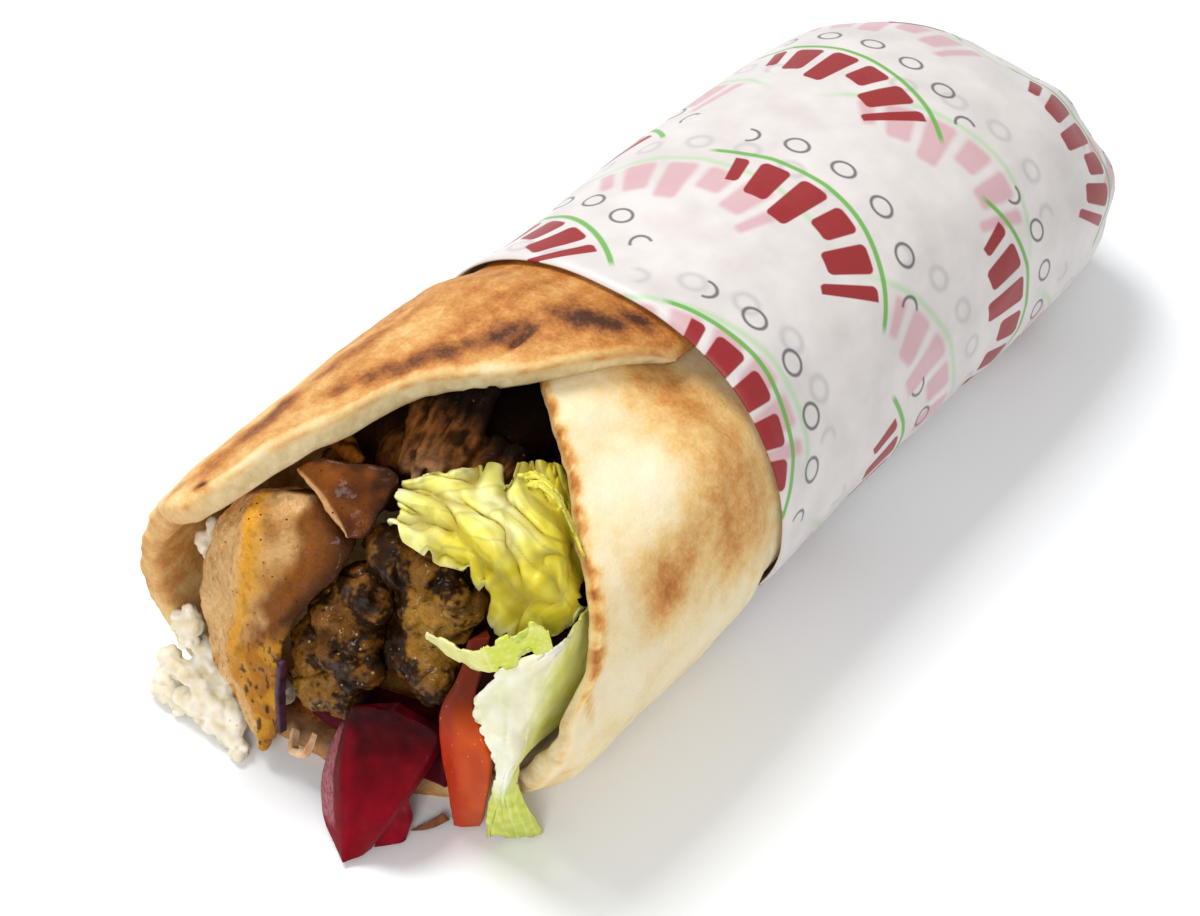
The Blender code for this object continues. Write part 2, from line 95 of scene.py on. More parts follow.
def along(stations, values, where):
    """A smooth curve through the values at the stations."""
    where = min(max(where, stations[0]), stations[-1])
    last = len(stations) - 2
    i = 0
    while i < last and where > stations[i + 1]:
        i += 1

    def slope(k):
        low, high = max(k - 1, 0), min(k + 1, len(stations) - 1)
        return (values[high] - values[low]) / (stations[high] - stations[low])

    span = stations[i + 1] - stations[i]
    t = (where - stations[i]) / span
    start = (1 + 2 * t) * (1 - t) ** 2 * values[i] + t * (1 - t) ** 2 * span * slope(i)
    end = t * t * (3 - 2 * t) * values[i + 1] + t * t * (t - 1) * span * slope(i + 1)
    return start + end


def middle_of(y):
    """The height of the roll's axis, and half its height, at a y."""
    top = along(STATIONS, TOP, y)
    half = (top - along(STATIONS, BOTTOM, y) + FLAT_CUT) / 2
    return top - half, half


def on_roll(turn, y, lift=0.0):
    """The point of the roll's outside at a turn and a y, raised outwards by lift.
    The turn is in degrees from the bottom, up the left side."""
    angle = math.radians(turn)
    middle, half = middle_of(y)
    side, up = -math.sin(angle), -math.cos(angle)
    power = LOWER_RIGHT_SQUARENESS if side > 0 and up < 0 else SQUARENESS
    size = (abs(side) ** power + abs(up) ** power) ** (1 / power)
    side, up = side / size, up / size
    reach = along(STATIONS, REACH_LEFT if side < 0 else REACH_RIGHT, y)
    lowest = max(0.0, along(STATIONS, BOTTOM, y)) + max(0.0, -lift)
    return Vector((side * (reach + lift), y, max(middle + up * (half + lift), lowest)))


print("the roll is", round(on_roll(180, 50).z, 1), "mm high at its highest")

# %% [markdown]
# Blender's shaders work in linear light, while colours are usually written as sRGB hex values, so one
# function turns the one into the other. Another adds a node to a material, with its settings and what it
# reads. That is enough to write every material of this lesson.

# %% Colours and nodes


def linear(hex_colour):
    """An sRGB hex value as the linear colour that a shader works in."""
    parts = [int(hex_colour[k:k + 2], 16) / 255 for k in (1, 3, 5)]
    return [c / 12.92 if c <= 0.04045 else ((c + 0.055) / 1.055) ** 2.4 for c in parts] + [1.0]


def add(tree, kind, inputs=None, stops=None, **settings):
    """Adds a node. Its inputs are values, or sockets to link; stops are the (place, hex colour) of a ramp."""
    made = tree.nodes.new(kind)
    for name, value in settings.items():
        setattr(made, name, value)
    for name, value in (inputs or {}).items():
        if isinstance(value, bpy.types.NodeSocket):
            tree.links.new(value, made.inputs[name])
        else:
            made.inputs[name].default_value = value
    for k, (place, colour) in enumerate(stops or ()):
        element = made.color_ramp.elements[k] if k < 2 else made.color_ramp.elements.new(place)
        element.position = place
        element.color = linear(colour)
    return made


def finish_of(name, **sockets):
    """A new material whose Principled shader has these uniform settings."""
    made = bpy.data.materials.new(name)
    made.use_nodes = True
    shader = made.node_tree.nodes["Principled BSDF"]
    for socket, value in sockets.items():
        shader.inputs[socket.replace("_", " ")].default_value = value
    return made, made.node_tree, shader


def per(size):
    """The scale of a noise whose features are this many millimetres across."""
    return 1 / (size * MM)


# %% [markdown]
# The camera stands at the photograph's place: to the right of the mouth, well above it, with a long lens that
# keeps the far end large. The light is a soft box from the upper left and a weaker one from the front, in a
# bright, even room, so the white floor stays white and the shadow falls softly to the right.

# %% Camera
CAMERA_AT = (0.19999, -0.28144, 0.35006)
CAMERA_LOOKS = Vector((-0.43534, 0.55721, -0.70711))

camera = bpy.data.objects.new("camera", bpy.data.cameras.new("camera"))
camera.data.lens = 72
camera.data.sensor_width = 36
camera.data.clip_start = 0.01
camera.location = CAMERA_AT
camera.rotation_mode = "QUATERNION"
camera.rotation_quaternion = CAMERA_LOOKS.to_track_quat("-Z", "Y")
bpy.context.scene.collection.objects.link(camera)
bpy.context.scene.camera = camera

# %% Light and floor
bpy.context.scene.view_settings.view_transform = "Standard"


def soft_box(name, place, size, power, aim=(0, -0.03, 0.03)):
    """A square area light that faces the sandwich."""
    light = bpy.data.objects.new(name, bpy.data.lights.new(name, "AREA"))
    light.data.size = size
    light.data.energy = power
    light.location = place
    light.rotation_mode = "QUATERNION"
    light.rotation_quaternion = (Vector(aim) - Vector(place)).to_track_quat("-Z", "Y")
    bpy.context.scene.collection.objects.link(light)


soft_box("key_light", (-0.4, 0.0, 0.92), 0.4, 7.0)
soft_box("front_light", (0.35, -0.65, 0.6), 0.25, 2.6)

room = bpy.data.worlds.new("room")
room.use_nodes = True
room.node_tree.nodes["Background"].inputs["Color"].default_value = (1, 1, 1, 1)
room.node_tree.nodes["Background"].inputs["Strength"].default_value = 0.5
bpy.context.scene.world = room

white_paint, _, _ = finish_of("white_backdrop_paint", Base_Color=linear("#F8FAFC"), Roughness=0.9)
bm = bmesh.new()
bmesh.ops.create_grid(bm, x_segments=2, y_segments=2, size=3.0)
floor_mesh = bpy.data.meshes.new("floor")
bm.to_mesh(floor_mesh)
bm.free()
floor_mesh.materials.append(white_paint)
floor = bpy.data.objects.new("floor", floor_mesh)
bpy.context.scene.collection.objects.link(floor)

# %% [markdown]
# Nearly every piece here is a sheet that has been bent: the bread, the paper, a leaf, and also a slice of
# meat, whose skin is a sheet bent into a tube with its ends drawn together. So one helper makes a flat grid
# with Blender's own operator and moves each point to its place. Points that land on each other are merged,
# which closes seams and ends. A place may also return a value for each attribute that the materials read.

# %% Helpers that make a mesh


def sheet(columns, rows, place, attributes=(), uv=None):
    """A grid whose points are moved to place(column, row), which gives a point in mm and its attributes."""
    bm = bmesh.new()
    bmesh.ops.create_grid(bm, x_segments=columns, y_segments=rows, size=0.5)
    layers = {}
    for name in attributes:
        kind = bm.verts.layers.float_color if name == "tint" else bm.verts.layers.float
        layers[name] = kind.new(name)
    cells = {}
    for vert in bm.verts:
        cells[vert] = (round((vert.co.x + 0.5) * columns), round((vert.co.y + 0.5) * rows))
    if uv:
        printed = bm.loops.layers.uv.new("print")
        for face in bm.faces:
            for loop in face.loops:
                loop[printed].uv = uv(*cells[loop.vert])
    for vert, cell in cells.items():
        point, values = place(*cell)
        vert.co = placed(point)
        for name, value in values.items():
            vert[layers[name]] = value
    bmesh.ops.remove_doubles(bm, verts=bm.verts, dist=0.002 * MM)
    bmesh.ops.recalc_face_normals(bm, faces=bm.faces)
    return bm


def raise_by(bm, rise):
    """Moves each point of a mesh along its normal, by rise(point) in mm."""
    bm.normal_update()
    moves = [(vert, vert.normal * rise(unplaced(vert.co)) * MM) for vert in bm.verts]
    for vert, move in moves:
        vert.co += move


def roughen(bm, *waves, seed=0.0):
    """Roughens a surface with waves of noise, each (size, height) in mm."""
    def rise(point):
        return sum(height * noise.noise(point / size + Vector((seed, size, 0))) for size, height in waves)

    raise_by(bm, rise)


def piece(name, bm, surface, slot, *replaced):
    """Puts a finished mesh into the scene as a piece of the sandwich."""
    mesh = bpy.data.meshes.new(name)
    bm.to_mesh(mesh)
    bm.free()
    mesh.materials.append(surface)
    mesh.shade_smooth()
    made = bpy.data.objects.new(name, mesh)
    bpy.context.scene.collection.objects.link(made)
    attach(made, "root")
    if replaced:
        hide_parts(*replaced)
    print(name, "has", sum(len(face.vertices) - 2 for face in mesh.polygons), "triangles")
    return made


# %% [markdown]
# The flatbread is one round sheet, 5 mm thick, that was baked on a hot plate: cream where it stayed soft,
# gold where it touched the plate, and brown in spots where blisters burnt. Its rim is puffed and pale. The
# profile of the sheet runs over its outside, round its rim and back along its inside, so the grid has a real
# thickness and a round rim. Where it browned is worked out from soft spots, each with a place, a size and a
# strength.

# %% Where the bread's edge runs
RIGHT_FLAP_END = -189.0
LEFT_FLAP_END = 207.0
EDGE = (
    (RIGHT_FLAP_END, 58), (-185, 53), (-175, 47), (-165, 42), (-149, 35), (-135, 26), (-120, 19),
    (-112, 16), (-104, 9), (-90, 6.5), (-60, 7), (-30, 9), (-10, 1), (25, -3), (60, -4), (90, -6),
    (120, -5), (140, -6), (147, 4), (152, 12), (157, 18), (162, 28), (173, 36), (185, 44),
    (196, 55), (LEFT_FLAP_END, 66),
)
EDGE_TURNS = [turn for turn, _ in EDGE]
EDGE_PLACES = [y for _, y in EDGE]
BREAD_THICKNESS = 5.0
LIP_CURL = 3.0
PUFF = 0.4
THIN_FLAP_SHARE = 0.6
PAPER_THICKNESS = 0.8
GAP = 0.5
SQUEEZE_START = 58.0
SQUEEZE_END = 67.3
BREAD_END = 182.0


def edge_at(turn):
    """How far behind the bottom lip the bread's front edge is, with the small waves of a hand-made bread."""
    wave = noise.noise(Vector((turn / 9.0, 3.0, 0))) + 0.4 * noise.noise(Vector((turn / 3.0, 5.0, 0)))
    return along(EDGE_TURNS, EDGE_PLACES, turn) + 0.8 * wave


def bread_lift(turn, y):
    """How far the bread's outside is from the roll's. The paper, the right flap and the lip go inwards."""
    squeezed = eased((y - SQUEEZE_START) / (SQUEEZE_END - SQUEEZE_START))
    tucked = eased((-turn - 122) / 30)
    curled = eased((-turn - 20) / 20) * eased((turn + 100) / 20) * eased((15 - y) / 8)
    inwards = squeezed * (PAPER_THICKNESS + GAP + PUFF) + tucked * (BREAD_THICKNESS + GAP)
    return PUFF - inwards - curled * LIP_CURL


# %% Where the bread browned
# Each spot: turn, y, how wide round the roll, how long along it, strength
BROWN_SPOTS = (
    (187, 60.5, 4.2, 1.9, 0.42), (183, 57, 3.2, 1.8, 0.38), (192, 66.5, 4, 1.8, 0.42), (190, 62, 3, 2, 0.2),
    (176, 50.5, 1.9, 1.8, 0.36), (173, 46.5, 2.6, 2, 0.44), (169, 42.5, 2, 1.5, 0.34),
    (166, 39, 2.6, 1.9, 0.44), (162, 35.5, 1.8, 1.6, 0.36), (159, 32, 2.3, 2, 0.42),
    (155, 28, 2.2, 1.7, 0.38), (151, 24, 1.7, 1.7, 0.32),
    (143, 37, 1.7, 4.5, 0.34), (139, 31, 1.7, 3.5, 0.3), (140, 12, 2.1, 4.2, 0.46), (138.5, 19, 1.9, 3.4, 0.4),
    (137, 3, 1.9, 3.2, 0.34), (141, -2.3, 0.9, 0.9, 0.8), (131, -3.5, 1.6, 2.0, 0.2), (-121, 42, 3, 6, 0.14),
    (-114, 35, 3, 5, 0.26), (-117, 38, 5, 8, 0.16), (-108, 33, 3, 6, 0.14), (-124, 33, 4, 4, 0.09),
    (-108, 47, 6, 8, 0.12), (-131, 63, 14, 6, 0.19), (-152, 62, 9, 7, 0.22), (-112, 60, 9, 8, 0.19),
    (-136, 55, 12, 4, 0.12), (-122, 52, 8, 4, 0.14), (100, -2, 5, 3, 0.15), (88, -3, 2, 4, 0.2),
    (-146, 45, 8, 4, -0.05), (-133, 38, 6, 5, -0.05), (-98, 24, 6, 9, -0.03), (130, 45, 8, 14, 0.1),
    (-76, 9, 5, 3, 0.12), (-60, 10, 4, 3, 0.12), (-105, 12.5, 3.5, 0.6, 0.35), (-2, 2, 9, 3, 0.3),
)
ROLL_RADIUS = 41.0


def browned(turn, y, behind):
    """How brown the outside is, from 0 for soft dough to 1 for burnt, at a place this far behind the edge."""
    flap = eased((turn - 118) / 30)
    gold = 0.13 + 0.3 * flap * eased((behind + 1) / 5) + 0.12 * flap * eased((y - 38) / 16)
    gold += 0.12 * flap * noise.noise(Vector((turn / 5, y / 16, 12)))
    gold += 0.1 * eased((turn - 20) / 60) * (1 - flap) + 0.06 * noise.noise(Vector((turn / 16, y / 12, 1)))
    for spot_turn, spot_y, wide, long, strength in BROWN_SPOTS:
        around = (turn - spot_turn) * math.radians(1) * ROLL_RADIUS / wide
        spread = around * around + ((y - spot_y) / long) ** 2
        if spread < 9:
            gold += strength * math.exp(-spread * 0.7)
    return gold


def streaked(turn, y):
    """Uneven patches that make the browning break up, as it does over blisters."""
    where = Vector((turn * 0.7, y, 7.0))
    return noise.noise(where / 6.0) + 0.6 * noise.noise(where / 2.6)


# %% Material: the browned flatbread
bread_crust, tree, shader = finish_of("browned_flatbread", Roughness=0.62, Specular_IOR_Level=0.3)
place_on = add(tree, "ShaderNodeTexCoord").outputs["Object"]
bake = add(tree, "ShaderNodeAttribute", attribute_name="bake").outputs["Fac"]
raw = add(tree, "ShaderNodeAttribute", attribute_name="raw").outputs["Fac"]
# The blisters of a plate-baked bread are about 3 mm wide, and its floury grain is under 1 mm
blister = add(tree, "ShaderNodeTexNoise", {
    "Vector": place_on, "Scale": per(3.0), "Detail": 5.0, "Roughness": 0.62})
grain = add(tree, "ShaderNodeTexNoise", {
    "Vector": place_on, "Scale": per(0.7), "Detail": 3.0, "Roughness": 0.6})
uneven = add(tree, "ShaderNodeMath", {0: blister.outputs["Fac"], 1: 0.7, 2: -0.35}, operation="MULTIPLY_ADD")
speckle = add(tree, "ShaderNodeMath", {0: grain.outputs["Fac"], 1: 0.4, 2: -0.2}, operation="MULTIPLY_ADD")
varied = add(tree, "ShaderNodeMath", {0: uneven.outputs[0], 1: speckle.outputs[0]}, operation="ADD")
# The browner the crust, the more it varies, so soft dough stays even
room_for = add(tree, "ShaderNodeMath", {0: bake, 1: 1.1, 2: 0.12}, operation="MULTIPLY_ADD")
shifted = add(tree, "ShaderNodeMath", {0: varied.outputs[0], 1: room_for.outputs[0], 2: bake},
              operation="MULTIPLY_ADD")
crust_colour = add(tree, "ShaderNodeValToRGB", {"Fac": shifted.outputs[0]}, stops=(
    (0.0, "#F0E5CA"), (1.0, "#4A2610"), (0.14, "#ECDAB0"), (0.3, "#E3BE7C"), (0.46, "#D09550"),
    (0.6, "#B87534"), (0.78, "#8A5022")))
dough = add(tree, "ShaderNodeValToRGB", {"Fac": blister.outputs["Fac"]},
            stops=((0.3, "#C8AC76"), (0.7, "#EAD9B0")))
crust = add(tree, "ShaderNodeMix", {
    "Factor": raw, 6: crust_colour.outputs["Color"], 7: dough.outputs["Color"]}, data_type="RGBA")
tree.links.new(crust.outputs[2], shader.inputs["Base Color"])
relief = add(tree, "ShaderNodeMath", {0: grain.outputs["Fac"], 1: 0.35, 2: blister.outputs["Fac"]},
             operation="MULTIPLY_ADD")
bump = add(tree, "ShaderNodeBump", {"Height": relief.outputs[0], "Strength": 0.5, "Distance": 0.5 * MM})
tree.links.new(bump.outputs["Normal"], shader.inputs["Normal"])

# %% The profile of the bread
# Rows of the sheet: over the outside to the rim, round the rim, and back along the inside
OUTER_UNDER_PAPER = [BREAD_END - (BREAD_END - 74.0) * k / 9 for k in range(10)]
OPEN_ROWS = 58
RIM_ROWS = 10
INNER_ROWS = 34
INNER_DEEP = [62.0 + (BREAD_END - 62.0) * k / 7 for k in range(1, 8)]
BREAD_ROWS = len(OUTER_UNDER_PAPER) + OPEN_ROWS + RIM_ROWS + INNER_ROWS + len(INNER_DEEP) - 1
BREAD_COLUMNS = 430
SIDE_ROUNDING = 4.5
RIM_SQUARENESS = 3.2


def profile(row, edge, thickness):
    """The y and the depth below the outside of one row of the sheet, and how far it is round the rim."""
    bend = edge + thickness / 2
    if row < len(OUTER_UNDER_PAPER):
        return OUTER_UNDER_PAPER[row], 0.0, 0.0
    row -= len(OUTER_UNDER_PAPER)
    if row < OPEN_ROWS:
        return OUTER_UNDER_PAPER[-1] + (bend - OUTER_UNDER_PAPER[-1]) * (row + 1) / (OPEN_ROWS + 1), 0.0, 0.0
    row -= OPEN_ROWS
    if row < RIM_ROWS:
        round_rim = math.pi * row / (RIM_ROWS - 1)
        out, over = math.sin(round_rim), math.cos(round_rim)
        squared = (out ** RIM_SQUARENESS + abs(over) ** RIM_SQUARENESS) ** (-1 / RIM_SQUARENESS)
        return bend - thickness / 2 * out * squared, thickness / 2 * (1 - over * squared), 1.0
    row -= RIM_ROWS
    if row < INNER_ROWS:
        return bend + (INNER_DEEP[0] - 14 - bend) * ((row + 1) / INNER_ROWS), thickness, 0.0
    return INNER_DEEP[row - INNER_ROWS], thickness, 0.0


# %% The flatbread


def bread_place(column, row):
    """A point of the bread, with how baked it is there and how raw."""
    turn = RIGHT_FLAP_END + (LEFT_FLAP_END - RIGHT_FLAP_END) * column / BREAD_COLUMNS
    edge = edge_at(turn)
    full = BREAD_THICKNESS * (THIN_FLAP_SHARE + (1 - THIN_FLAP_SHARE) * eased((turn + 115) / 35))
    full *= 1 + 0.1 * noise.noise(Vector((turn / 11.0, 9.0, 0)))
    from_side = min(column, BREAD_COLUMNS - column) / BREAD_COLUMNS * (LEFT_FLAP_END - RIGHT_FLAP_END)
    from_side *= math.radians(1) * ROLL_RADIUS
    share = math.sqrt(max(0.0, 1 - max(0.0, 1 - from_side / SIDE_ROUNDING) ** 2))
    y, depth, on_rim = profile(row, edge, full)
    if row in (0, BREAD_ROWS):
        depth = full / 2
    outer = 1 - depth / full
    depth = full / 2 + (depth - full / 2) * share
    behind = y - edge
    flat = Vector((turn * math.radians(1) * ROLL_RADIUS, y, 0))
    waves = 0.55 * noise.noise(flat / 17) + 0.32 * noise.noise(flat / 6.5) + 0.1 * noise.noise(flat / 2.2)
    crack = math.exp(-((turn - 177.5 - (y - 49) * 0.12) / 0.9) ** 2 - ((y - 48) / 3.6) ** 2)
    open_to_air = 1 - eased((y - SQUEEZE_START) / 8)
    rise = (waves * outer + 0.35 * noise.noise(flat / 3.1 + Vector((0, 0, 4))) * on_rim - 1.1 * crack * outer)
    point = on_roll(turn, y, bread_lift(turn, y) - depth + rise * open_to_air * share)
    if row in (0, BREAD_ROWS):
        return point, {"bake": 0.2, "raw": 0.0}
    outside = browned(turn, y, behind) + 0.07 * streaked(turn, y)
    browned_width = 1.6 + noise.noise(Vector((turn / 6, 4, 0)))
    thin_edge = eased((-turn - 104) / 10) * math.exp(-(behind / browned_width) ** 2)
    spotty = noise.noise(Vector((turn / 5, y / 2, 0))) + 0.5 * noise.noise(Vector((turn / 1.3, y, 5)))
    outside += thin_edge * (0.36 + 0.45 * spotty)
    inside = 0.2 + 0.3 * eased((turn - 60) / 30) + 0.16 * streaked(turn, y)
    # Partly a juice stain, partly painted shade: the inside is browner near the bottom lip, among the filling
    inside += 0.4 * eased((turn + 25) / 15) * eased((48 - turn) / 15)
    bake_here = outside * outer + inside * (1 - outer)
    crumb_line = 0.5 + noise.noise(Vector((turn / 2.2, 8, 0)))
    bake_here += on_rim * 0.3 * math.exp(-((outer - 0.7) / 0.12) ** 2) * crumb_line
    raw_here = on_rim * (1 - 0.85 * thin_edge) * eased((0.85 - outer) / 0.3)
    raw_here *= 1 - 0.9 * eased((turn - 62) / 16) * eased((148 - turn) / 16)
    # The bottom lip is browner, partly from juice that it took up and partly from painted shade among the
    # filling
    soaked = eased((turn + 30) / 15) * eased((50 - turn) / 15)
    raw_here *= 1 - 0.8 * soaked
    bake_here += 0.22 * soaked * eased((14 - behind) / 10)
    return point, {"bake": bake_here + 0.35 * crack * outer, "raw": raw_here}


bread_mesh = sheet(BREAD_COLUMNS, BREAD_ROWS, bread_place, ("bake", "raw"))
flatbread = piece("flatbread_rolled", bread_mesh, bread_crust, "flatbread", "flatbread")

# %% [markdown]
# The wrapper is thin greaseproof paper: it shines a little, it creases in soft folds, and the print of its
# inner layer shows through the outer one. Its far end is folded in like a parcel's. The print is a made-up
# one: fans of rounded red bars under a thin green arc, with small grey rings outside it. It is drawn with
# distances, so it stays sharp at any size: in polar coordinates a fan of bars is just a repeated rectangle.

# %% Arithmetic for the print
PRINT_UNIT = 100.0
paper_sheet, tree, shader = finish_of("greaseproof_paper", Roughness=0.42, Specular_IOR_Level=0.4)


def calculate(operation, *values, clamped=False):
    """One step of arithmetic on numbers or sockets."""
    step = add(tree, "ShaderNodeMath", dict(enumerate(values)), operation=operation, use_clamp=clamped)
    return step.outputs[0]


def distance_of(x, y):
    """How long the line is that goes x to the side and y up."""
    return calculate("SQRT", calculate("ADD", calculate("MULTIPLY", x, x), calculate("MULTIPLY", y, y)))


def soft_edge(distance, blur):
    """1 inside a shape and 0 outside it, from the distance to its outline in mm."""
    return calculate("MULTIPLY_ADD", distance, -1 / blur, 0.5, clamped=True)


# %% One layer of the print
FAN_EVERY_ROUND = 64.4
FAN_EVERY_LONG = 39.0
FAN_RADIUS = 44.0
BAR_EVERY = 8.8
BAR_ROUNDING = 1.3
ARC_HALF_WIDTH = 0.55
RING_RADIUS = 2.0
RING_HALF_WIDTH = 0.3
FAN_REACH = 0.5


def fans_of_print(around, length, lean, shift_round, shift_long, blur):
    """The masks of red bars, green arcs and grey rings of one layer of print."""
    turned_x = calculate("ADD", calculate("MULTIPLY", around, math.cos(lean)),
                         calculate("MULTIPLY", length, -math.sin(lean)))
    turned_y = calculate("ADD", calculate("MULTIPLY", around, math.sin(lean)),
                         calculate("MULTIPLY", length, math.cos(lean)))
    moved_y = calculate("ADD", turned_y, shift_long)
    row = calculate("FLOOR", calculate("DIVIDE", moved_y, FAN_EVERY_LONG))
    moved_x = calculate("ADD", turned_x, calculate("MULTIPLY_ADD", row, FAN_EVERY_ROUND * 0.42, shift_round))
    x = calculate("SUBTRACT", calculate("FLOORED_MODULO", moved_x, FAN_EVERY_ROUND), FAN_EVERY_ROUND / 2)
    y = calculate("SUBTRACT", calculate("FLOORED_MODULO", moved_y, FAN_EVERY_LONG), FAN_EVERY_LONG / 2)
    lowered = calculate("ADD", y, FAN_RADIUS - 6)
    radius = distance_of(x, lowered)
    angle = calculate("ARCTAN2", x, lowered)
    from_middle = calculate("MULTIPLY", calculate("ABSOLUTE", angle), FAN_RADIUS)
    inside_fan = calculate("SUBTRACT", from_middle, FAN_REACH * FAN_RADIUS)
    step = BAR_EVERY / FAN_RADIUS
    number = calculate("FLOOR", calculate("DIVIDE", angle, step))
    bar_starts = calculate("MULTIPLY", number, step)
    from_bar = calculate("SUBTRACT", calculate("SUBTRACT", angle, bar_starts), step / 2)
    across = calculate("MULTIPLY", from_bar, FAN_RADIUS)
    # Bars of three lengths take turns
    turn_of = calculate("FLOORED_MODULO", number, 3.0)
    half_length = calculate("MULTIPLY_ADD", turn_of, 1.3, 4.0)
    outwards = calculate("ADD", radius, calculate("SUBTRACT", half_length, FAN_RADIUS - 1.6))
    straight_side = calculate("SUBTRACT", half_length, 1.4)
    side_gap = calculate("MAXIMUM", calculate("SUBTRACT", calculate("ABSOLUTE", across), 1.9), 0.0)
    end_gap = calculate("MAXIMUM", calculate("SUBTRACT", calculate("ABSOLUTE", outwards), straight_side), 0.0)
    bar = calculate("SUBTRACT", distance_of(side_gap, end_gap), BAR_ROUNDING)
    bars = calculate("MULTIPLY", soft_edge(bar, blur), soft_edge(inside_fan, blur))
    from_arc = calculate("ABSOLUTE", calculate("SUBTRACT", radius, FAN_RADIUS))
    arc = calculate("SUBTRACT", from_arc, ARC_HALF_WIDTH)
    beyond_fan = calculate("SUBTRACT", inside_fan, 5.0)
    arcs = calculate("MULTIPLY", soft_edge(arc, blur), soft_edge(beyond_fan, blur * 6))
    from_rings = calculate("SUBTRACT", radius, FAN_RADIUS + 6.5)
    from_line = calculate("SUBTRACT", distance_of(from_rings, across), RING_RADIUS)
    ring = calculate("SUBTRACT", calculate("ABSOLUTE", from_line), RING_HALF_WIDTH)
    rings = calculate("MULTIPLY", soft_edge(ring, blur), soft_edge(inside_fan, blur))
    return bars, arcs, rings


# %% Material: the printed greaseproof paper
on_paper = add(tree, "ShaderNodeUVMap", uv_map="print")
parts = add(tree, "ShaderNodeSeparateXYZ", {0: on_paper.outputs["UV"]})
round_mm = calculate("MULTIPLY", parts.outputs["X"], PRINT_UNIT)
long_mm = calculate("MULTIPLY", parts.outputs["Y"], PRINT_UNIT)
object_place = add(tree, "ShaderNodeTexCoord").outputs["Object"]
mottle = add(tree, "ShaderNodeTexNoise", {"Vector": object_place, "Scale": per(9.0), "Detail": 3.0})
fibres = add(tree, "ShaderNodeTexNoise", {"Vector": object_place, "Scale": per(0.5), "Detail": 2.0})
colour = add(tree, "ShaderNodeValToRGB", {"Fac": mottle.outputs["Fac"]},
             stops=((0.3, "#D2CBC8"), (0.7, "#E1DBD8"))).outputs["Color"]
FAINT_INKS = (("#CE969E", 0.68), ("#A9D09C", 0.75), ("#B4B0B0", 0.8))
CLEAR_INKS = (("#930F16", 0.97), ("#5FAA38", 0.9), ("#5E5A5C", 0.9))
layers = (
    # The inner layer shows through faintly, then comes the outer layer's own print
    (fans_of_print(round_mm, long_mm, -0.2, 31.0, 18.0, 1.3), FAINT_INKS),
    (fans_of_print(round_mm, long_mm, 0.16, 20.0, 2.0, 0.35), CLEAR_INKS),
)
for masks, inks in layers:
    for mask, (ink, strength) in zip(masks, inks):
        covered = calculate("MULTIPLY", mask, strength)
        inked = add(tree, "ShaderNodeMix", {"Factor": covered, 6: colour, 7: linear(ink)}, data_type="RGBA")
        colour = inked.outputs[2]
tree.links.new(colour, shader.inputs["Base Color"])
creases = add(tree, "ShaderNodeMath", {0: fibres.outputs["Fac"], 1: 0.15, 2: mottle.outputs["Fac"]},
              operation="MULTIPLY_ADD")
bump = add(tree, "ShaderNodeBump", {"Height": creases.outputs[0], "Strength": 0.25, "Distance": 0.6 * MM})
tree.links.new(bump.outputs["Normal"], shader.inputs["Normal"])
print("the paper's material has", len(tree.nodes), "nodes")

# %% The paper's shape
PAPER_FRONT = 68.0
PAPER_END = 210.0
PAPER_COLUMNS = 330
PAPER_OUTER = 118
FOLD_ROWS = 16
PAPER_INNER = 10
PAPER_ROWS = FOLD_ROWS + PAPER_OUTER + 2 + PAPER_INNER
EDGE_SHEET = 0.3
# The folded end is drawn together at one point, in as many pleats
FOLD_X = 1.5
FOLD_Z = 22.0
FOLD_DEPTH = 4.5
PLEATS = 9


def paper_front(turn):
    """Where the paper's front edge runs, a little askew and uneven."""
    return PAPER_FRONT + math.sin(math.radians(2 * turn + 40)) + 0.5 * noise.noise(Vector((turn / 25, 1, 0)))


def paper_lift(turn, y):
    """Soft folds over the paper, sharper creases now and then, and pleats towards the folded end."""
    angle = math.radians(turn)
    ring = Vector((math.cos(angle) * ROLL_RADIUS, math.sin(angle) * ROLL_RADIUS, y))
    folds = 0.5 * noise.noise(ring / 24) + 0.35 * (0.5 - abs(noise.noise(ring / 18.37)))
    creases = 0.6 * (0.25 - abs(noise.noise(Vector((ring.x / 13, ring.y / 13, ring.z / 30)))))
    uneven = 2.2 * noise.noise(Vector((math.cos(angle), math.sin(angle), 0)))
    pleats = 0.9 * math.sin(PLEATS * angle + uneven) * eased((y - 172) / 30)
    return folds + creases + pleats


# %% The paper


def paper_place(column, row):
    """A point of the paper, from the middle of its folded end over the outside to the front and back in."""
    turn = 360.0 * column / PAPER_COLUMNS
    front = paper_front(turn)
    if row <= FOLD_ROWS:
        share = row / FOLD_ROWS
        rim = on_roll(turn, PAPER_END - 0.4, paper_lift(turn, PAPER_END))
        swirl = Vector((FOLD_X, 0, FOLD_Z)).lerp(rim, share)
        pleat = 3.3 * math.sin(PLEATS * math.radians(turn) + 2.5 * (1 - share)) * share * (1 - share)
        swirl.y = PAPER_END - FOLD_DEPTH * (1 - share) ** 0.7 - abs(pleat) * 0.8 - 0.4 * share
        return swirl, {}
    row -= FOLD_ROWS
    if row <= PAPER_OUTER:
        share = row / PAPER_OUTER
        y = front + (PAPER_END - 0.4 - front) * (1 - share) ** 0.8
        lift = paper_lift(turn, y)
        return on_roll(turn, y, max(lift, -0.45) * eased((y - front + 2) / 8)), {}
    row -= PAPER_OUTER
    if row <= 2:
        return on_roll(turn, front + 1.5 * (row - 1), -EDGE_SHEET), {}
    share = (row - 2) / PAPER_INNER
    if share == 1:
        return Vector((FOLD_X, PAPER_END - FOLD_DEPTH - 2, FOLD_Z)), {}
    return on_roll(turn, front + 1.5 + (PAPER_END - 8 - front) * share, -PAPER_THICKNESS), {}


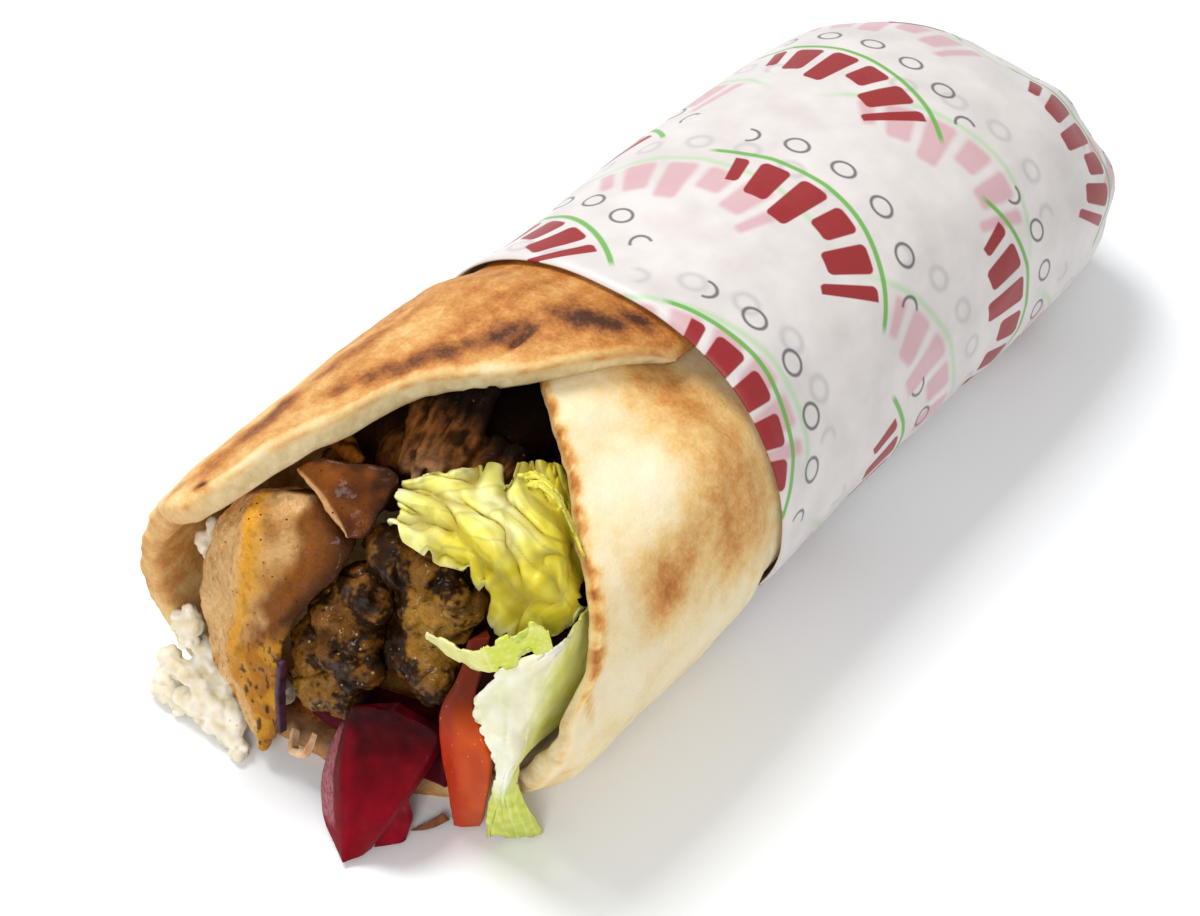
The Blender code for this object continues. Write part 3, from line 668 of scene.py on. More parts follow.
def paper_uv(column, row):
    """The place on the flat paper, in units of 100 mm."""
    u = 2 * math.pi * ROLL_RADIUS * column / PAPER_COLUMNS / PRINT_UNIT
    if row <= FOLD_ROWS:
        return u, (PAPER_END + 25.0 * (1 - row / FOLD_ROWS)) / PRINT_UNIT
    share = min(1.0, (row - FOLD_ROWS) / PAPER_OUTER)
    return u, (PAPER_FRONT + (PAPER_END - PAPER_FRONT) * (1 - share) ** 0.8) / PRINT_UNIT


paper_mesh = sheet(PAPER_COLUMNS, PAPER_ROWS, paper_place, uv=paper_uv)
paper = piece("paper_wrapper", paper_mesh, paper_sheet, "paper", "paper_wrap")

# %% [markdown]
# Sliced and torn food is rounder than a box and flatter than a ball. Each slice is given as a few outlines,
# one behind the other, and its skin is a sheet that runs through them. Each corner becomes a short curve,
# which rounds it but leaves the flat sides flat. The skin knows which side it is on, so a cut face, a browned
# edge and a broad side each get their own tint.

# %% Helpers for cut food


def rounded(corners, count, cut=0.2):
    """A closed outline with rounded corners: evenly spaced points whose fourth part counts the corners."""
    corners = [Vector((*corner, k)) for k, corner in enumerate(corners)]
    before, after = corners[-1].copy(), corners[0].copy()
    before[3], after[3] = -1.0, len(corners)
    around = [before] + corners + [after]
    path = [(before + corners[0]) / 2]
    for back, corner, ahead in zip(around, around[1:], around[2:]):
        start, end = corner.lerp(back, cut), corner.lerp(ahead, cut)
        for share in (0.0, 0.25, 0.5, 0.75, 1.0):
            path.append(start.lerp(corner, share).lerp(corner.lerp(end, share), share))
    path.append((corners[-1] + after) / 2)
    reach = [0.0]
    for here, there in zip(path, path[1:]):
        reach.append(reach[-1] + (there.xyz - here.xyz).length)
    spaced, k = [], 0
    for i in range(count + 1):
        goal = reach[-1] * i / count
        while k < len(path) - 2 and reach[k + 1] < goal:
            k += 1
        spaced.append(path[k].lerp(path[k + 1], (goal - reach[k]) / max(reach[k + 1] - reach[k], 1e-9)))
    return spaced


def cut_food(loops, around, steps, tint, cut=0.2, cap=6, bulge=1.0):
    """The skin through the loops, with rounded ends. tint(side, share, point) gives the colour of a point."""
    last = len(loops) - 1
    stops = range(last + 1)
    rows = steps * last
    rings = []
    for k in range(rows + 1):
        corners = []
        for corner in zip(*loops):
            corners.append([along(stops, [point[axis] for point in corner], k / steps) for axis in range(3)])
        rings.append(rounded(corners, around, cut))
    hearts = [sum((point.xyz for point in ring[:-1]), Vector()) / around for ring in rings]
    ends = ((hearts[0] - hearts[1]).normalized(), (hearts[-1] - hearts[-2]).normalized())

    def place(column, row):
        row -= cap
        k = min(max(row, 0), rows)
        spot = rings[k][column]
        point = spot.xyz
        over = max(-row, row - rows, 0) / cap
        if over:
            point = hearts[k].lerp(point, math.cos(over * math.pi / 2)) + ends[row > 0] * bulge * math.sin(
                over * math.pi / 2)
        return point, {"tint": tint(spot[3] % len(loops[0]), k / rows, point)}

    return sheet(around, rows + 2 * cap, place, ("tint",))


# %% Helpers for tints


def blend(first, second, share):
    """A colour between two hex colours, or between linear ones."""
    first = linear(first) if isinstance(first, str) else first
    second = linear(second) if isinstance(second, str) else second
    share = min(max(share, 0.0), 1.0)
    return [a + (b - a) * share for a, b in zip(first, second)]


def patches(point, size, seed=0.0):
    """A smooth random value from about 0 to 1."""
    return 0.5 + 0.9 * noise.noise(Vector(point) / size + Vector((seed, 0, 0)))


def near(point, centre, size):
    """1 at a centre, fading to 0 beyond a size."""
    return math.exp(-((Vector(point) - Vector(centre)).length / size) ** 2)


# %% [markdown]
# Roast chicken is moist, so light reflects from its wet skin and also sinks a little into the meat. The tint
# comes with the mesh, and the material only adds what is too fine for it: patches of juice, fibres, specks of
# herb and pepper, and the small bumps of a grilled surface. The same recipe, with other numbers, serves every
# moist food here.

# %% Materials of the moist food


def moist_food(name, speck_hex, speck_size, speck_amount, grain, bump_height, coat=0.15, roughness=0.5,
               subsurface=0.06, depth=1.0, contrast=0.22, gloss=0.35):
    """A wet, slightly translucent food whose colour comes from its tint, with specks and grain."""
    made, tree, shader = finish_of(
        name, Roughness=roughness, Coat_Roughness=0.1, Subsurface_Weight=subsurface,
        Subsurface_Scale=depth * MM, Subsurface_Radius=(1.0, 0.6, 0.35), IOR=1.4, Specular_IOR_Level=gloss)
    where = add(tree, "ShaderNodeTexCoord").outputs["Object"]
    # Juice and fat lie on the food in patches about 2 mm wide
    juice = add(tree, "ShaderNodeTexNoise", {"Vector": where, "Scale": per(2.2), "Detail": 3.0})
    wet = add(tree, "ShaderNodeMapRange", {"Value": juice.outputs["Fac"], "From Min": 0.45, "From Max": 0.62,
                                           "To Min": 0.2 * coat, "To Max": coat})
    tree.links.new(wet.outputs[0], shader.inputs["Coat Weight"])
    tinted = add(tree, "ShaderNodeAttribute", attribute_name="tint").outputs["Color"]
    fine = add(tree, "ShaderNodeTexNoise", {
        "Vector": where, "Scale": per(grain), "Detail": 4.0, "Roughness": 0.65})
    shade = add(tree, "ShaderNodeMath", {0: fine.outputs["Fac"], 1: 2 * contrast, 2: 1 - contrast},
                operation="MULTIPLY_ADD")
    shaded = add(tree, "ShaderNodeMix", {"Factor": 1.0, 6: tinted, 7: shade.outputs[0]}, data_type="RGBA",
                 blend_type="MULTIPLY")
    cells = add(tree, "ShaderNodeTexVoronoi", {
        "Vector": where, "Scale": per(speck_size * 3), "Randomness": 1.0})
    spot = add(tree, "ShaderNodeMapRange", {"Value": cells.outputs["Distance"], "From Min": 0.12,
                                            "From Max": 0.2, "To Min": 1.0, "To Max": 0.0})
    # Only some of the cells hold a speck
    lot = add(tree, "ShaderNodeSeparateColor", {0: cells.outputs["Color"]}).outputs[0]
    chosen = add(tree, "ShaderNodeMath", {0: lot, 1: speck_amount}, operation="LESS_THAN")
    specks = add(tree, "ShaderNodeMath", {0: spot.outputs[0], 1: chosen.outputs[0]}, operation="MULTIPLY")
    done = add(tree, "ShaderNodeMix", {
        "Factor": specks.outputs[0], 6: shaded.outputs[2], 7: linear(speck_hex)}, data_type="RGBA")
    tree.links.new(done.outputs[2], shader.inputs["Base Color"])
    bump = add(tree, "ShaderNodeBump", {"Height": fine.outputs["Fac"], "Strength": 1.0,
                                        "Distance": bump_height * MM})
    tree.links.new(bump.outputs["Normal"], shader.inputs["Normal"])
    return made


roast_chicken = moist_food("roast_chicken", "#2E1C0A", 0.4, 0.2, 0.6, 0.35, coat=0.16, roughness=0.5,
                           subsurface=0.03, contrast=0.36, gloss=0.12)
herb_crust = moist_food("herb_crusted_meat", "#C29A52", 0.5, 0.12, 0.5, 0.5, coat=0.45, roughness=0.5,
                        subsurface=0.0, contrast=0.7, gloss=0.1)

# %% The large slice of chicken


def slice_tint(side, share, point):
    """A grainy beige cut face, a yellow ridge, a broad side from tan to brown, and an orange tip."""
    cut_face = blend("#CB9450", "#EBC488", patches(point, 0.9) * 0.6 + 0.4 * patches(point, 5.0, 6.0))
    across = side - 1
    broad = blend("#B07636", "#DCAE72", patches(point, 4.0, 4.0) + 0.4 - share)
    browned_from = 0.3 + 0.5 * (patches(point, 5.0, 11.0) - 0.5) - 0.5 * share
    broad = blend(broad, "#7E430A", eased((across - browned_from) / 0.45) * 0.95)
    broad = blend(broad, "#2E1605", eased((across - 0.55) / 0.35) * 0.85)
    colour = blend(cut_face, broad, eased((side - 1.03) / 0.12)) if side < 2.6 else list(cut_face)
    ridge = math.exp(-((side - 1.02) / (0.1 + 0.08 * patches(point, 1.2))) ** 2)
    colour = blend(colour, "#DE9A20", ridge * 0.95)
    tip = eased((share - 0.5) / 0.16) * eased((side - 0.7) / 0.2)
    colour = blend(colour, "#B5751A", tip * (0.55 + 0.45 * patches(point, 2.5, 9.0)))
    colour = blend(colour, "#D59A22", tip * eased((patches(point, 3.0, 14.0) - 0.45) / 0.3) * 0.6)
    flecks = eased((patches(Vector((point.x, point.y, point.z * 0.45)), 0.9, 2.0) - 0.72) / 0.1)
    return blend(colour, "#2E1E0A", flecks * (0.25 + 0.6 * tip))


front_slice = cut_food([
    [(-30, 4, 52), (-25, 4, 54.5), (-15, 12, 55), (-24, 13, 51)],
    [(-34, 1, 45.4), (-22.6, -1.8, 54), (-9, 11, 51.5), (-22, 14, 45)],
    [(-37, -1, 35), (-21.3, -4, 48), (-5.4, 7.5, 50.8), (-18, 12, 41)],
    [(-36.4, -3, 26.5), (-21.9, -5.5, 38.9), (-6.4, 3, 47), (-18, 7, 36)],
    [(-34, -5, 19.2), (-24, -7, 28.6), (-11, -2, 40), (-19, 1, 31)],
    [(-31.6, -6.5, 15.6), (-24.5, -8, 21.8), (-12.7, -5, 34.2), (-20, -2, 25)],
    [(-26.9, -7.5, 14), (-20.5, -9, 18.5), (-12.6, -6, 28.5), (-18.5, -4.5, 19)],
    [(-24, -8, 9.6), (-18, -9.5, 12.6), (-13.4, -7, 20), (-17.5, -5.5, 12.5)],
    [(-19.5, -8.6, 5), (-17.6, -9.5, 5.2), (-15, -8, 9.4), (-17, -7, 6.6)],
], 120, 14, slice_tint, cut=0.16)
roughen(front_slice, (9.0, 0.8), (3.4, 0.5), (1.2, 0.22), (0.6, 0.12), seed=3.0)
piece("chicken_slice_1", front_slice, roast_chicken, "chicken", "chicken_slice_front")


# %% The slice behind it


def back_slice_tint(side, share, point):
    """A browner slice with a pale cut edge towards the mouth, and painted shade on its sides turned away."""
    colour = blend("#4C2206", "#8E4E14", patches(point, 3.0) * 0.6 + 0.4 * eased((0.4 - share) / 0.4))
    # Painted shade: the sides turned away from the light are darker
    turned_away = side - 0.45 + 0.3 * (patches(point, 2.0, 4.0) - 0.5)
    colour = blend(colour, "#221004", eased(turned_away / 0.5) * 0.8)
    pale = eased((side - 2.75) / 0.2) + eased((0.1 - side) / 0.08) * (side < 0.5)
    return blend(colour, "#D2A06A", pale * (0.75 + 0.25 * patches(point, 0.8)))


back_slice = cut_food([
    [(-21.5, 11, 58), (-18, 14, 60.5), (-17.6, 16.6, 58.2), (-22.2, 13.6, 56.2)],
    [(-15.4, 8.8, 57.6), (-6, 18, 62), (-7.2, 20, 58.8), (-16.8, 10.8, 55.2)],
    [(-10.4, 7.6, 56), (-3.8, 15, 60), (-5.4, 17, 57), (-11.8, 9.6, 53.6)],
    [(-7, 6.8, 54.4), (-4.2, 9.6, 54.4), (-5.2, 10.8, 53), (-8, 8.2, 53)],
], 72, 16, back_slice_tint, cut=0.16, bulge=0.4)
roughen(back_slice, (5.0, 0.6), (1.8, 0.25), (0.7, 0.1), seed=8.0)
piece("chicken_slice_2", back_slice, roast_chicken, "chicken", "chicken_slice_back")

# %% [markdown]
# The dark chunks are torn meat with a crust of herbs and burnt marinade: lumpy, split by crevices, and glossy
# where juice lies on them. A lumpy form is easy to build from a few balls that are fused by a voxel remesh,
# which also spreads its faces evenly. Noise then makes the torn surface, and its hollows get black painted
# shade.

# %% Helper: lumps fused into one


def fused(balls, voxel):
    """One closed mesh from balls, each (centre, radius or three radii)."""
    bm = bmesh.new()
    for centre, radius in balls:
        radii = (radius, radius, radius) if isinstance(radius, (int, float)) else radius
        pose = Matrix.Translation(placed(centre)) @ Matrix.Diagonal((*[r * MM for r in radii], 1.0))
        bmesh.ops.create_icosphere(bm, subdivisions=4, radius=1.0, matrix=pose)
    rough_mesh = bpy.data.meshes.new("lumps")
    bm.to_mesh(rough_mesh)
    bm.free()
    lumps = bpy.data.objects.new("lumps", rough_mesh)
    bpy.context.scene.collection.objects.link(lumps)
    remesh = lumps.modifiers.new("fuse", "REMESH")
    remesh.mode = "VOXEL"
    remesh.voxel_size = voxel * MM
    evaluated = lumps.evaluated_get(bpy.context.evaluated_depsgraph_get())
    joined = bmesh.new()
    joined.from_mesh(evaluated.to_mesh())
    evaluated.to_mesh_clear()
    bpy.data.objects.remove(lumps, do_unlink=True)
    bpy.data.meshes.remove(rough_mesh)
    return joined


def strand(start, end, radius):
    """Balls along a line, which fuse into one torn fibre with an uneven width."""
    start, end = Vector(start), Vector(end)
    count = max(2, round((end - start).length / (radius * 0.5)))
    balls = []
    for k in range(count + 1):
        centre = start.lerp(end, k / count)
        uneven = radius * (0.9 + 0.3 * noise.noise(centre / 5.0))
        balls.append((centre, uneven * (1 - 0.35 * (k / count) ** 3)))
    return balls


def tinted(bm, tint):
    """Gives every point of a mesh its colour from tint(point, normal)."""
    bm.normal_update()
    layer = bm.verts.layers.float_color.new("tint")
    for vert in bm.verts:
        vert[layer] = tint(unplaced(vert.co), vert.normal)


# %% The dark chunks


def crevice(point, seed):
    """0 on the swells of torn meat, up to 1 in its few, uneven crevices."""
    folds = abs(noise.noise(point / 6.5 + Vector((0, seed, 0))))
    open_here = eased((patches(point, 7.0, seed + 30) - 0.35) / 0.3)
    return (1 - eased(folds / 0.13)) * open_here


def torn(bm, seed, coarse=6.5, height=1.2, split=1.3):
    """Tears a lump: broad swells, a few crevices, short fibres and fine crumbs."""
    def rise(point):
        swell = noise.noise(point / coarse + Vector((seed, 0, 0))) + 0.3 * noise.noise(point / 2.2)
        fibres = noise.noise(Vector((point.x / 0.7, point.y / 2.4, point.z / 2.6)) + Vector((0, 0, seed)))
        crumbs = noise.noise(point / 0.6 + Vector((seed, seed, 0)))
        return swell * height - split * crevice(point, seed) + fibres * 0.36 + crumbs * 0.2

    raise_by(bm, rise)


def crust_tint(seed, glow, glow_size, glow_hex):
    """Brown meat with a dark crust of herbs, black painted shade in its crevices and where the two chunks
    meet, and one roasted gold place that is also a painted highlight.
    """
    def tint(point, normal):
        meat = blend("#55310C", "#8C5A1C", patches(point, 3.0, 3.0))
        # Roasted gold that is also a painted highlight, where the chunk is lit
        gold = near(point, glow, glow_size)
        meat = blend(meat, glow_hex, gold * (0.7 + 0.4 * patches(point, 1.6)))
        herbs = blend("#1E0F04", "#3C2208", patches(point, 1.4, 8.0))
        crust = patches(point, 4.5, 12.0) + 0.6 * patches(point, 0.9, 5.0) - 0.4 * gold
        # Painted shade: the two chunks are darkest where they meet
        between = eased(1.2 - abs(point.x - 0.5) / 6) * patches(point, 5.0, 21.0)
        colour = blend(meat, herbs, eased((crust + 0.7 * between - 0.66) / 0.35))
        # Painted shade: the crevices are nearly black
        return blend(colour, "#0E0703", 0.9 * crevice(point, seed))
    return tint


left_chunk = fused([
    ((-6.7, 5, 30.5), (7.2, 7, 8)), ((-4.6, 7.6, 41), (6, 5, 6.6)), ((-10, 0.6, 21.2), (6.2, 5.4, 6.4)),
    ((-11.2, 1.6, 27.5), (4.8, 5, 7)), ((-1.8, 2.8, 28.5), (4.4, 4.6, 5)), ((-9, 4.4, 36.5), 5.0),
    ((-4.4, 0.2, 20.5), (5, 3.8, 4.4)),
] + strand((-9.5, 2, 31), (-1.2, -0.6, 24.4), 1.7) + strand((-7.5, 0.6, 31.5), (-4.4, -2.8, 19.5), 1.5), 0.4)
torn(left_chunk, 2.0)
tinted(left_chunk, crust_tint(2.0, (-11, -2, 22), 7.5, "#9E7024"))
piece("meat_chunk_1", left_chunk, herb_crust, "dark_meat", "meat_chunk_left")

right_chunk = fused([
    ((6.3, 13.6, 39.5), (7.4, 7, 7.6)), ((-1.6, 12.8, 48), (6, 5, 5.6)), ((7, 14.6, 49.2), (5.8, 5, 5.2)),
    ((12, 13.2, 45), (4.6, 5, 5.4)), ((6.6, 9.2, 32), (6.8, 5.8, 6)), ((11.4, 6.6, 30.6), (4.2, 4, 4.6)),
], 0.4)
torn(right_chunk, 5.0)
tinted(right_chunk, crust_tint(5.0, (11, 9, 42), 8.0, "#B98A34"))
piece("meat_chunk_2", right_chunk, herb_crust, "dark_meat", "meat_chunk_right")

# %% [markdown]
# Behind the mouth the roll is full. The meat, the salad and the beetroot each fill a share of its section and
# run through it, and only their front ends show, deep in the shadow. In front of the meat hang a few torn
# pieces with long fibres, which are fused from rows of balls.

# %% The outlines of the filling


def inner_lift(turn):
    """How far below the roll's outside the filling may reach, under both flaps of the bread."""
    under_right_flap = eased((-turn - 114) / 34)
    under_left_flap = eased((turn - 156) / 9)
    return -(BREAD_THICKNESS + PAPER_THICKNESS + 3 * GAP) - 3.9 * max(under_right_flap, under_left_flap)


def filling_loops(first_turn, last_turn, heart_x, heart_z, front, back, points):
    """The outlines of one share of the filling, from its front to its back."""
    loops = []
    stops = 9
    for k in range(stops + 1):
        y = front + (back - front) * (k / stops) ** 1.3
        fullness = (0.7, 0.93)[k] if k < 2 else (0.75 if k == stops else 1.0)
        shrink = middle_of(y)[0] / middle_of(0)[0]
        loop = [Vector((heart_x, y, heart_z * shrink))]
        for i in range(points):
            turn = first_turn + (last_turn - first_turn) * i / (points - 1)
            loop.append(on_roll(turn, y, inner_lift(turn if turn <= 180 else turn - 360)))
        heart = sum(loop, Vector()) / len(loop)
        loops.append([heart + (point - heart) * 0.985 * fullness for point in loop])
    return loops


# %% Meat, lettuce and beetroot in the shade


def deep_meat_tint(side, share, point):
    """Dark meat, with painted shade that makes it nearly black high up under the bread."""
    colour = blend("#2A170B", "#4A2A12", patches(Vector((point.x, point.y, point.z / 4)), 1.6))
    return blend(colour, "#0F0804", eased((point.z - 48) / 14))


def deep_salad_tint(side, share, point):
    """Lettuce in the shade."""
    return blend("#6E6C24", "#B4B060", patches(point, 4.0))


def deep_beet_tint(side, share, point):
    """Beetroot in the shade."""
    return blend("#2A040B", "#520A18", patches(point, 4.0))


deep_meat = moist_food("meat_inside_the_roll", "#5A3A1C", 0.5, 0.1, 0.8, 0.4, coat=0.03, roughness=0.8,
                       contrast=0.4, gloss=0.04)
moist_lettuce = moist_food("shaded_lettuce", "#8F8A3A", 0.5, 0.1, 1.5, 0.2)
moist_beet = moist_food("shaded_beetroot", "#2A0410", 0.5, 0.1, 1.0, 0.1)
DEEP_END = 178.8
deep_shares = (
    ("filling_meat", (63, 192, -3, 30, 33, DEEP_END, 9), deep_meat_tint, deep_meat,
     "dark_meat", "chicken_filling"),
    ("filling_lettuce", (-167, -57, 6, 29, 42, DEEP_END, 8), deep_salad_tint, moist_lettuce,
     "pale_lettuce", "lettuce_filling"),
    ("filling_beetroot", (-55, 8, 4, 16, 16, DEEP_END, 5), deep_beet_tint, moist_beet,
     "beetroot", "beetroot_filling"),
)
for name, share, tint, surface, slot, node in deep_shares:
    body = cut_food(filling_loops(*share), 110, 9, tint, bulge=2.0, cap=14)
    roughen(body, (9.0, 0.8), (3.0, 0.5), seed=5.0)
    piece(name, body, surface, slot, node)

# %% Torn meat in front of the filling


def torn_tint(point, normal):
    """Brown fibres, pinkish at their ends, with dark patches, and painted shade that makes them nearly black
    deeper in.
    """
    long_way = Vector((point.x, point.y * 0.25, point.z * 0.3))
    colour = blend("#33190A", "#7A4A20", patches(long_way, 0.8))
    colour = blend(colour, "#B98A62", near(point, (-3.5, 23.5, 56.5), 4) * 0.85)
    colour = blend(colour, "#A85E18", near(point, (-19, 20, 57), 6) * 0.7)
    # Painted shade: nearly black deeper in, under the bread
    colour = blend(colour, "#120904", eased((point.y - 30) / 5))
    return blend(colour, "#160B05", eased((patches(point, 2.6, 6.0) - 0.55) / 0.25) * 0.8)


torn_pieces = fused(
    strand((-13, 35, 65), (-8.5, 24, 56.5), 1.9) + strand((-9.5, 36, 66), (-5.6, 24, 57), 1.6)
    + strand((-7, 37, 66), (-3.2, 24, 56.5), 1.3) + strand((-4.4, 38, 67), (-1.6, 25, 58), 1.6)
    + strand((-10, 30, 58), (-4.5, 22, 55.5), 1.4) + strand((-1, 39, 67), (1.2, 26, 58), 1.9)
    + strand((2.8, 35, 60), (4.6, 27, 57.5), 2.3) + strand((6.4, 36, 59), (8.4, 29, 57.5), 2.1)
    + strand((-27, 25, 54), (-15.5, 19.5, 57.5), 2.2) + strand((-24, 22, 50), (-14, 20, 52), 2.6)
    + [((-2, 30, 53), 6.0), ((5, 31, 52), 6), ((-13, 30, 51), 6.0)], 0.45)
torn(torn_pieces, 9.0, 3.0, 0.3, split=0.3)
tinted(torn_pieces, torn_tint)
piece("torn_meat_1", torn_pieces, deep_meat, "dark_meat")

# %% [markdown]
# The cheese is a crumbled white one. Its heap starts inside the roll, spills over the bread's lip and comes
# down to the floor. Crumbs differ in size and have flat, broken sides, so the heap is fused from balls of many
# sizes, and a pattern of cells then breaks its surface into small flat sides.

# %% The crumbled cheese
white_cheese = moist_food("crumbled_white_cheese", "#D9CBA2", 0.5, 0.15, 0.9, 0.12, coat=0.05, roughness=0.55,
                          subsurface=0.2, depth=1.2, contrast=0.05)


def bed_height(x):
    """How high the bread's inside is at the left of the mouth, at an x."""
    turn = 0
    while turn < 90 and on_roll(turn, 0, -BREAD_THICKNESS - GAP).x > x:
        turn += 1
    return on_roll(turn, 0, -BREAD_THICKNESS - GAP).z


def cheese_tint(point, normal):
    """Nearly white, warmer in random patches."""
    return blend("#E2D3AE", "#F4EDDC", patches(point, 2.2) * 1.15)


def crumble(bm, seed):
    """Breaks the surface into small flat-sided crumbs."""
    def rise(point):
        reach, _ = noise.voronoi(point / 3.6 + Vector((seed, 0, 0)))
        return 2.2 * min(0.12, 0.5 - reach[0]) + 0.4 * noise.noise(point / 1.3)

    raise_by(bm, rise)


# %% The heap and the loose crumbs
draw = random.Random(5)
crumbs = []
for x in (-34.4, -31.5, -28.5, -25, -22):
    crumbs.append(((x, 0.4, bed_height(x) + 4.0), 3.2 + draw.uniform(-0.4, 0.3)))
for x in (-35.5, -33, -30.5):
    crumbs.append(((x, -4.2, bed_height(x) + 3.9), 2.8 + draw.uniform(-0.4, 0.3)))
for x in (-41, -38.5, -36, -33, -30.2, -27.5):
    centre = (x, -8.1 + draw.uniform(-0.5, 0.0), min(bed_height(x) + 1.2, 11.5))
    crumbs.append((centre, 2.7 + draw.uniform(-0.9, 0.3)))
for x in (-43, -40.5, -37.5, -34.5, -31.5, -28.5, -25.8):
    centre = (x, -8.8 + draw.uniform(-0.6, 0.4), 5 + draw.uniform(-0.8, 0.6))
    crumbs.append((centre, 2.5 + draw.uniform(-0.8, 0.4)))
for x in (-44.5, -41.5, -38.5, -36, -33, -30, -27, -24.8, -22.6):
    centre = (x, -9.6 + draw.uniform(-1.2, 1.0), 2.3)
    crumbs.append((centre, 1.9 + draw.uniform(-0.5, 0.3)))
heap = fused(crumbs, 0.42)
crumble(heap, 1.0)
tinted(heap, cheese_tint)
piece("cheese_heap", heap, white_cheese, "cheese", "cheese_crumbs")

loose_crumbs = (
    ("cheese_crumb_1", "cheese_crumb_high",
     [((-37.5, 2.5, 37), 2.5), ((-36.6, 2.4, 33.8), 1.8), ((-37.2, 3.6, 40.2), 1.6)]),
    ("cheese_crumb_2", "cheese_crumb_side",
     [((-38.2, -5.2, 21.2), 3.0), ((-37.2, -6.4, 18.4), 2.2), ((-38, -4.4, 23.8), 1.8)]),
)
for name, node, balls in loose_crumbs:
    crumb = fused(balls, 0.32)
    crumble(crumb, 4.0)
    tinted(crumb, cheese_tint)
    piece(name, crumb, white_cheese, "cheese", node)

# %% [markdown]
# Lettuce is a thin leaf with a ruffled, ragged edge, raised veins and a waxy shine, and light passes through
# it. Each leaf is a sheet through a few rows of points. Waves that grow towards the edge ruffle it, the edge
# is nibbled by noise, and the veins branch from the middle. A Solidify modifier gives the leaf its thickness.

# %% Helper: a leaf
LEAF_THICKNESS = 0.5


def nibbled(share, beside, ragged, first, second):
    """A share of the way over the leaf, moved in from the edge by bites that change along it."""
    bite = noise.noise(Vector((beside / 4, first, 0))) + 0.6 * noise.noise(Vector((beside / 1.6, second, 0)))
    bite *= ragged * (2 * share - 1) ** 6
    return min(max(share + (bite if share < 0.5 else -bite), 0), 1)


def leaf(name, rows, columns, deep, ruffle, waves, tint, surface, slot, node=None, ragged=1.6,
         vein_hex="#F4F1B0", fold_hex="#A08A10"):
    """A wavy sheet through rows of points, most ruffled at row 0, with edges that are ragged by some mm."""
    across = range(len(rows[0]))
    down = range(len(rows))
    wide = (Vector(rows[0][0]) - Vector(rows[0][-1])).length
    long = (Vector(rows[0][0]) - Vector(rows[-1][0])).length

    def place(column, row):
        u, v = column / columns, row / deep
        at_u = nibbled(u, v * long, ragged / wide, 1, 2) * across[-1]
        at_v = nibbled(v, u * wide, ragged / long, 5, 7) * down[-1]
        lines = [[along(across, [point[axis] for point in line], at_u) for axis in range(3)] for line in rows]
        point = Vector([along(down, [line[axis] for line in lines], at_v) for axis in range(3)])
        wave = math.sin(waves * math.pi * u + 2.5 * v) + 0.6 * math.sin(2.3 * waves * math.pi * u + 1.0)
        vein_way = (v * 5 + abs(u - 0.5) * 4 + 0.3 * noise.noise(Vector((u * 5, v * 5, 0)))) % 1.0
        vein = math.exp(-((vein_way - 0.5) / 0.05) ** 2) + math.exp(-((u - 0.5) / 0.012) ** 2)
        bent = 0.4 * noise.noise(Vector((u * 4, v * 4, 3)))
        crease = Vector((u * 3.4 + v * 3 + bent, v * 3.4 - u + bent, len(name)))
        fold = min(abs(noise.noise(crease)) / 0.3, 1.0)
        rise = ruffle * wave * (1 - v) ** 1.5 + 0.2 * min(vein, 1.0) + 3.2 * ruffle * (fold ** 0.8 - 0.6)
        point += Vector((0, -0.6, 0.8)) * rise
        point += Vector((0.3, -0.5, 0.8)) * (0.9 * noise.noise(point / 5.0) + 0.35 * noise.noise(point / 1.8))
        # Painted shade: the leaf is darker in its creases
        colour = blend(tint(u, v, point), fold_hex, 0.75 * ruffle * (1 - eased(fold / 0.6)))
        return point, {"tint": blend(colour, vein_hex, 0.4 * min(vein, 1.0))}

    bm = sheet(columns, deep, place, ("tint",))
    made = piece(name, bm, surface, slot, *([node] if node else []))
    wall = made.modifiers.new("thickness", "SOLIDIFY")
    wall.thickness = LEAF_THICKNESS * MM
    wall.offset = 0
    return made


lettuce = moist_food("crisp_lettuce", "#B9B04A", 0.3, 0.0, 1.6, 0.1, coat=0.2, roughness=0.42,
                     subsurface=0.25, depth=0.8, contrast=0.08)


# %% The colours of the leaves


def yellow_tint(u, v, point):
    """Lemon yellow at the ruffled edge, nearly white at the left tip, and olive painted shade on the part
    behind.
    """
    deep = blend("#D4C01C", "#ECE04C", patches(point, 2.6))
    light = blend("#EAE476", "#F6F4BC", patches(point, 3.4, 5.0))
    upper_left = eased((v - 0.3) / 0.3) * eased((0.75 - u) / 0.3)
    edge = max(eased((0.34 - u) / 0.3), upper_left, eased((0.09 - v) / 0.08))
    bright = blend(deep, light, edge * (0.7 + 0.5 * patches(point, 5.0, 9.0)))
    # Painted shade: the back part of the leaf, which faces away, is olive
    return blend(bright, "#8E8224", 0.8 * eased((v - 0.78 + 0.3 * (patches(point, 4.0, 3.0) - 0.5)) / 0.2))


def fold_tint(u, v, point):
    """The bright fold in front of the olive part."""
    return blend("#C9BB22", "#E6DC4E", patches(point, 3.0))


def pale_tint(u, v, point):
    """A white rib at the inner side, turning to green at the ruffled side and the tail."""
    rib = blend("#EBE6C8", "#F6F2E2", patches(point, 5.0))
    green = blend("#D6DC5A", "#ECEE9C", patches(point, 3.0, 5.0))
    tail = blend("#B4C23C", "#D2DA62", patches(point, 2.0, 7.0))
    return blend(blend(rib, green, eased((u - 0.42) / 0.25)), tail, eased((v - 0.68) / 0.2))


def shred_tint(u, v, point):
    """Green yellow, paler along the shred's upper edge."""
    pale = blend("#D2CE6E", "#ECE9A6", patches(point, 3.0) * 0.6 + 0.4 * v)
    return blend(pale, "#C6D42C", eased((u - 0.35) / 0.25) * (0.5 + 0.5 * patches(point, 2.5, 3.0)))


